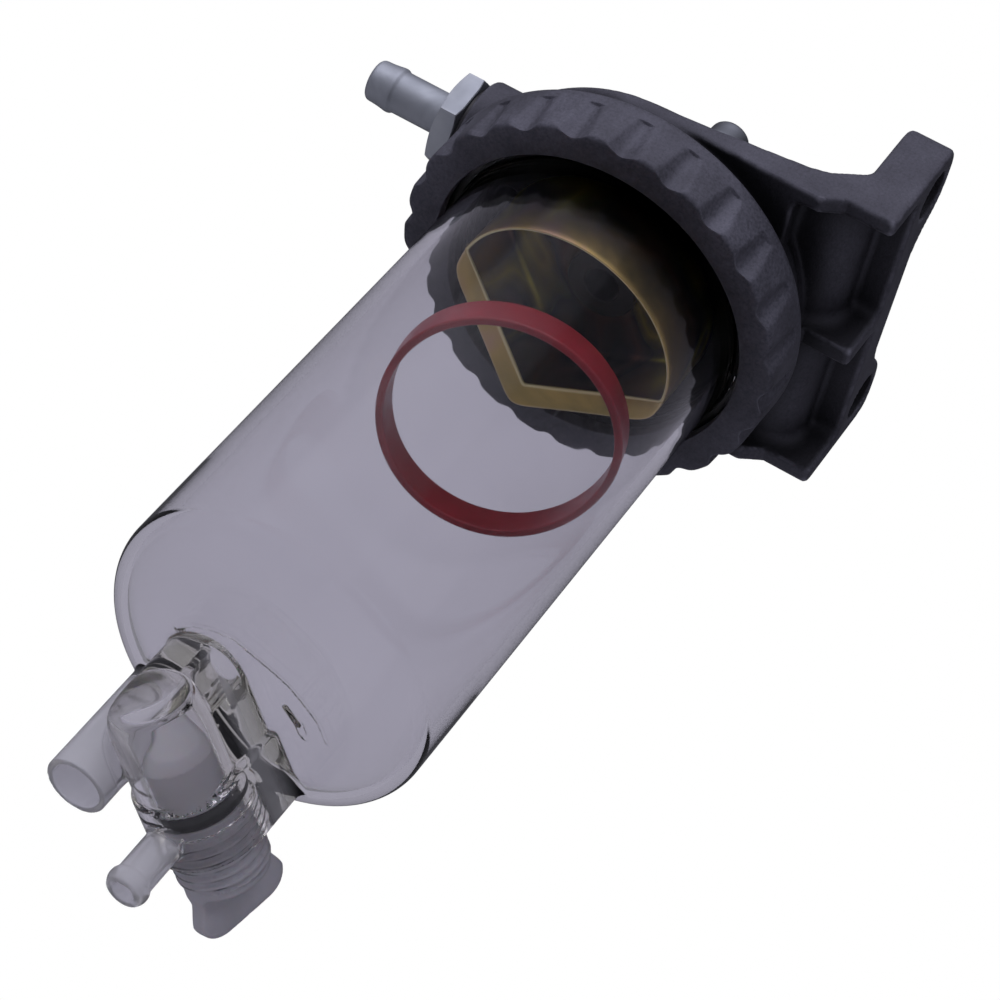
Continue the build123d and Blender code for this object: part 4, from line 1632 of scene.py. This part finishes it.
@dataclass
class FloatRing:
    """The red ring that floats between water and fuel.

    Attributes:
        radius: its outer radius.
        wall: thickness of its wall.
        height: its height.
        z: height of its middle.
        tilt: how far it tilts, in degrees.
        lean: direction that its axis leans in.
        side: direction in which it lies off the bowl's axis.
        shift: how far it lies off that axis.
    """

    radius: float = 25.25
    wall: float = 1.7
    height: float = 7.5
    z: float = -35.0
    tilt: float = 19.0
    lean: float = 226.0
    side: float = 164.0
    shift: float = 5.41

    def build(self, looks: Finishes) -> None:
        """Make the ring and dress it."""
        t, lean, side = (math.radians(v) for v in (self.tilt, self.lean, self.side))
        up = np.array([math.sin(t) * math.cos(lean), math.sin(t) * math.sin(lean), math.cos(t)])
        start = np.cross(up, (0.0, 0.0, 1.0))
        start /= np.linalg.norm(start)
        middle = (self.shift * math.cos(side), self.shift * math.sin(side), self.z)
        h = self.height / 2
        inner, outer = self.radius - self.wall, self.radius
        outline = rounded([(inner, -h, 0.5), (outer, -h, 0.6), (outer, h, 0.6), (inner, h, 0.5)])
        ring = turned("float", outline, Turning(middle, tuple(up), tuple(start)), 160)
        sharpen(ring, 50.0)
        dress(ring, looks.red, Body.FLOAT, Slot.RED, "float_ring")


@dataclass
class DrainPlug:
    """The frosted drain plug and its seal.

    Attributes:
        drain: the drain's axes, which are the plug's own.
        thread: where the thread starts and ends along the axis.
        stem: radius of the threaded stem between its crests.
        crest: height of the crests.
        pitch: the thread's pitch.
        wing: where the finger wing starts and ends.
        wing_half: half thickness of the wing.
        wing_tilt: how far the wing leans, in degrees.
        seal: ring radius and middle of the seal, and its half sizes.
        cell: size of the meshing grid.
    """

    drain: DrainFrame = field(default_factory=DrainFrame)
    thread: Pair = (18.9, 32.4)
    stem: float = 8.55
    crest: float = 0.57
    pitch: float = 2.0
    wing: Pair = (29.0, 44.2)
    wing_half: float = 1.8
    wing_tilt: float = 12.0
    seal: tuple[Pair, Pair] = ((6.95, 15.8), (1.17, 1.45))
    cell: float = 0.42

    def shape(self, p: Array) -> Array:
        """Distance to the plug.

        Args:
            p: points in the bowl's frame.

        Returns:
            The distance of each point from the plug.
        """
        u, v, w = self.drain.split(p)
        around = np.hypot(v, w)
        nose = np.interp(u, [3.0, 4.8], [4.6, 6.8])
        shank = rod(around, u, nose, 3.0, 14.55, 0.5)
        core = rod(around, u, 5.75, 10.0, 20.0)
        land = rod(around, u, 7.92, 17.05, 18.5, 0.3)
        turn = np.arctan2(v, w) / (2 * math.pi)
        phase = (u - 19.6) / self.pitch + turn
        ridge = np.clip(2.3 - 3.2 * np.abs(phase - np.round(phase)) * 2.0, 0.0, 1.0)
        start, end = self.thread
        fade = np.clip(np.minimum(u - start, end - u) / 0.8, 0.0, 1.0)
        stem = rod(around, u, self.stem + self.crest * ridge * fade, 18.4, 34.0, 0.9)
        a = math.radians(self.wing_tilt)
        across = v * math.cos(a) + w * math.sin(a)
        up = -v * math.sin(a) + w * math.cos(a)
        flare = np.interp(u, [29.0, 33.0, 36.5, 40.0], [6.5, 8.0, 9.2, 10.7])
        wing = smooth_max(np.abs(up) - flare, slab(u, *self.wing), 6.0)
        wing = smooth_max(wing, np.abs(across) - self.wing_half, 1.0)
        solid = smooth_min(smooth_min(shank, core, 0.1), land, 0.1)
        solid = smooth_min(solid, stem, 0.2)
        return smooth_min(solid, wing, 2.0)

    def build(self, looks: Finishes) -> None:
        """Make the plug and its seal and dress them."""
        start, end = self.drain.centre + self.drain.out * 2.0, self.drain.centre + self.drain.out * 46.0
        low = np.minimum(start, end) - 13.0
        high = np.maximum(start, end) + 13.0
        grid = [steps(low[n], high[n], self.cell) for n in range(3)]
        plug = ImplicitSolid(self.shape, *grid).build("wing_plug")
        dress(plug, looks.frosted, Body.PLUG, Slot.FROSTED, "drain_plug")
        (radius, middle), (thick, long) = self.seal
        angles = np.linspace(0, 2 * math.pi, 24, endpoint=False)
        ring = [(radius + thick * math.cos(a), middle + long * math.sin(a)) for a in angles]
        seal = turned("plug_seal", ring, self.drain.turning())
        dress(seal, looks.rubber, Body.SEAL, Slot.RUBBER, "drain_seal")


@dataclass
class BowlSeal:
    """The flat ring between the bowl's flange and the neck."""

    inner: float = 33.8
    outer: float = 37.8
    low: float = 7.06
    high: float = 8.46
    edge: float = 0.2

    def build(self, looks: Finishes) -> None:
        """Make the seal and dress it."""
        low = [(self.inner, self.low, self.edge), (self.outer, self.low, self.edge)]
        high = [(self.outer, self.high, self.edge), (self.inner, self.high, self.edge)]
        seal = turned("flange_seal", rounded(low + high), BOWL_AXIS, 128)
        dress(seal, looks.rubber, Body.HEAD, Slot.RUBBER, "bowl_seal")


# Studio


@dataclass(frozen=True)
class Lamp:
    """A soft round lamp that faces the object.

    Attributes:
        name: the lamp's name.
        reach: its distance in metres.
        size: its width in metres.
        power: its power in watts.
        tone: colour of its light.
        spread: width of its beam in degrees.
    """

    name: str
    reach: float
    size: float
    power: float
    tone: Colour
    spread: float = 100.0

    def hang(self, way: Array) -> None:
        """Hang the lamp in a direction from the object, out of the camera's sight."""
        middle = Vector((0.0, -0.05, -0.08))
        way = Vector(way).normalized()
        data = bpy.data.lights.new(self.name, "AREA")
        data.shape, data.size, data.energy, data.color = "DISK", self.size, self.power, self.tone
        data.spread = math.radians(self.spread)
        lamp = bpy.data.objects.new(self.name, data)
        lamp.location = middle + way * self.reach
        lamp.rotation_euler = way.to_track_quat("Z", "Y").to_euler()
        lamp.visible_camera = False
        bpy.context.scene.collection.objects.link(lamp)


@dataclass
class Studio:
    """Camera, floor, world and lamps.

    Attributes:
        azimuth: the camera's direction round the object, in degrees.
        elevation: its height angle.
        roll: how far it is rolled.
        focal: its focal length in millimetres.
        distance: its distance in millimetres.
        slide: how far the object's middle lies right of and above the axis.
        floor_z: height of the floor in metres.
        key: direction of the brightest side, to the camera's right, up and back.
        low: light from the room's dimmest side.
        high: what its brightest side adds.
        falloff: how fast the light falls off away from that side.
        room: colour of the room's light.
        behind: colour of what is seen through clear parts.
        paint: colour of the floor.
    """

    azimuth: float = 107.74
    elevation: float = -39.16
    roll: float = 40.52
    focal: float = 111.06
    distance: float = 631.5
    slide: Pair = (16.87, 39.69)
    floor_z: float = -0.70
    key: Triple = (0.1, 0.95, 0.5)
    low: float = 0.105
    high: float = 0.82
    falloff: float = 1.5
    room: Colour = (0.87, 0.86, 1.0)
    behind: Colour = (0.372, 0.362, 0.452)
    paint: Colour = (0.86, 0.86, 0.87)

    def directions(self) -> tuple[Array, Array, Array]:
        """The camera's right, up and back directions."""
        a, e, r = (math.radians(v) for v in (self.azimuth, self.elevation, self.roll))
        back = np.array([math.sin(a) * math.cos(e), -math.cos(a) * math.cos(e), math.sin(e)])
        level = np.cross((0.0, 0.0, 1.0), back)
        level /= np.linalg.norm(level)
        above = np.cross(back, level)
        right = math.cos(r) * level + math.sin(r) * above
        up = -math.sin(r) * level + math.cos(r) * above
        return right, up, back

    def toward_key(self) -> Array:
        """Direction from the object to the brightest side of the room."""
        right, up, back = self.directions()
        way = self.key[0] * right + self.key[1] * up + self.key[2] * back
        return way / np.linalg.norm(way)

    def camera(self) -> None:
        """Place the camera as the photograph was taken."""
        right, up, back = self.directions()
        eye = to_row(-self.slide[0] * right - self.slide[1] * up + self.distance * back)
        data = bpy.data.cameras.new("view")
        data.lens, data.sensor_width = self.focal, 36.0
        data.clip_start, data.clip_end = 0.02, 20.0
        camera = bpy.data.objects.new("view", data)
        rows = [[right[n], up[n], back[n], eye[n]] for n in range(3)]
        camera.matrix_world = Matrix(rows + [[0, 0, 0, 1]])
        bpy.context.scene.collection.objects.link(camera)
        bpy.context.scene.camera = camera

    def world(self) -> None:
        """White behind the object, lavender grey seen through clear parts, dimmer light elsewhere."""
        world = bpy.data.worlds.new("studio")
        bpy.context.scene.world = world
        world.use_nodes = True
        sky = Tree(world.node_tree)
        path = sky.add("ShaderNodeLightPath").outputs
        way = sky.add("ShaderNodeTexCoord").outputs["Generated"]
        facing = sky.vector("DOT_PRODUCT", way, tuple(self.toward_key()), "Value")
        glow = sky.reckon("POWER", sky.reckon("MAXIMUM", facing, 0.0), self.falloff)
        soft = sky.reckon("ADD", sky.reckon("MULTIPLY", glow, self.high), self.low)
        direct = sky.reckon("LESS_THAN", path["Diffuse Depth"], 0.5)
        through = sky.reckon("MULTIPLY", path["Is Transmission Ray"], direct)
        room, behind, white = (
            sky.add("ShaderNodeBackground", {"Color": (*colour, 1.0), "Strength": strength}).outputs[0]
            for colour, strength in ((self.room, soft), (self.behind, 1.0), ((1.0, 1.0, 1.0), 1.0))
        )
        lit = sky.add("ShaderNodeMixShader", {0: through, 1: room, 2: behind}).outputs[0]
        seen = sky.add("ShaderNodeMixShader", {0: path["Is Camera Ray"], 1: lit, 2: white}).outputs[0]
        sky.add("ShaderNodeOutputWorld", {"Surface": seen})

    def floor(self) -> None:
        """A pale floor below the camera."""
        mesh = bpy.data.meshes.new("floor")
        reach = 6.0
        corners = [(-reach, -reach), (reach, -reach), (reach, reach), (-reach, reach)]
        mesh.from_pydata([(x, y, self.floor_z) for x, y in corners], [], [(0, 1, 2, 3)])
        floor = bpy.data.objects.new("floor", mesh)
        bpy.context.scene.collection.objects.link(floor)
        s = Sheet("pale_floor")
        floor.data.materials.append(s.close(s.add("ShaderNodeBsdfDiffuse", {"Color": (*self.paint, 1.0)})))

    def build(self) -> None:
        """Set up the whole studio."""
        bpy.context.scene.view_settings.view_transform = "Standard"
        self.camera()
        self.world()
        self.floor()
        right, up, back = self.directions()
        Lamp("key", 1.15, 1.9, 2.6, (0.88, 0.88, 1.0)).hang(self.toward_key())
        Lamp("fill", 1.2, 1.8, 1.7, (0.87, 0.87, 1.0)).hang(back * 0.9 - up * 0.1 - right * 0.5)


def main() -> None:
    """Build the separator piece by piece and then its studio."""
    logging.basicConfig(level=logging.INFO)
    looks = Finishes()
    turn = math.radians(-10.9)
    front = Turning((0.0, -44.5, 31.0), (0.0, -1.0, 0.0), (math.cos(turn), 0.0, math.sin(turn)))
    above = Turning((0.0, 0.0, 41.0), (0.0, 0.0, 1.0), (1.0, 0.0, 0.0))
    pieces: tuple[Piece, ...] = (
        Head(), RingNut(), HoseFitting("inlet", front), HoseFitting("outlet", above),
        BaffleCup(), BowlSeal(), Bowl(), FloatRing(), DrainPlug(),
    )
    for piece in pieces:
        piece.build(looks)
        log.info("built %s", type(piece).__name__)
    Studio().build()


if __name__ == "__main__":
    main()
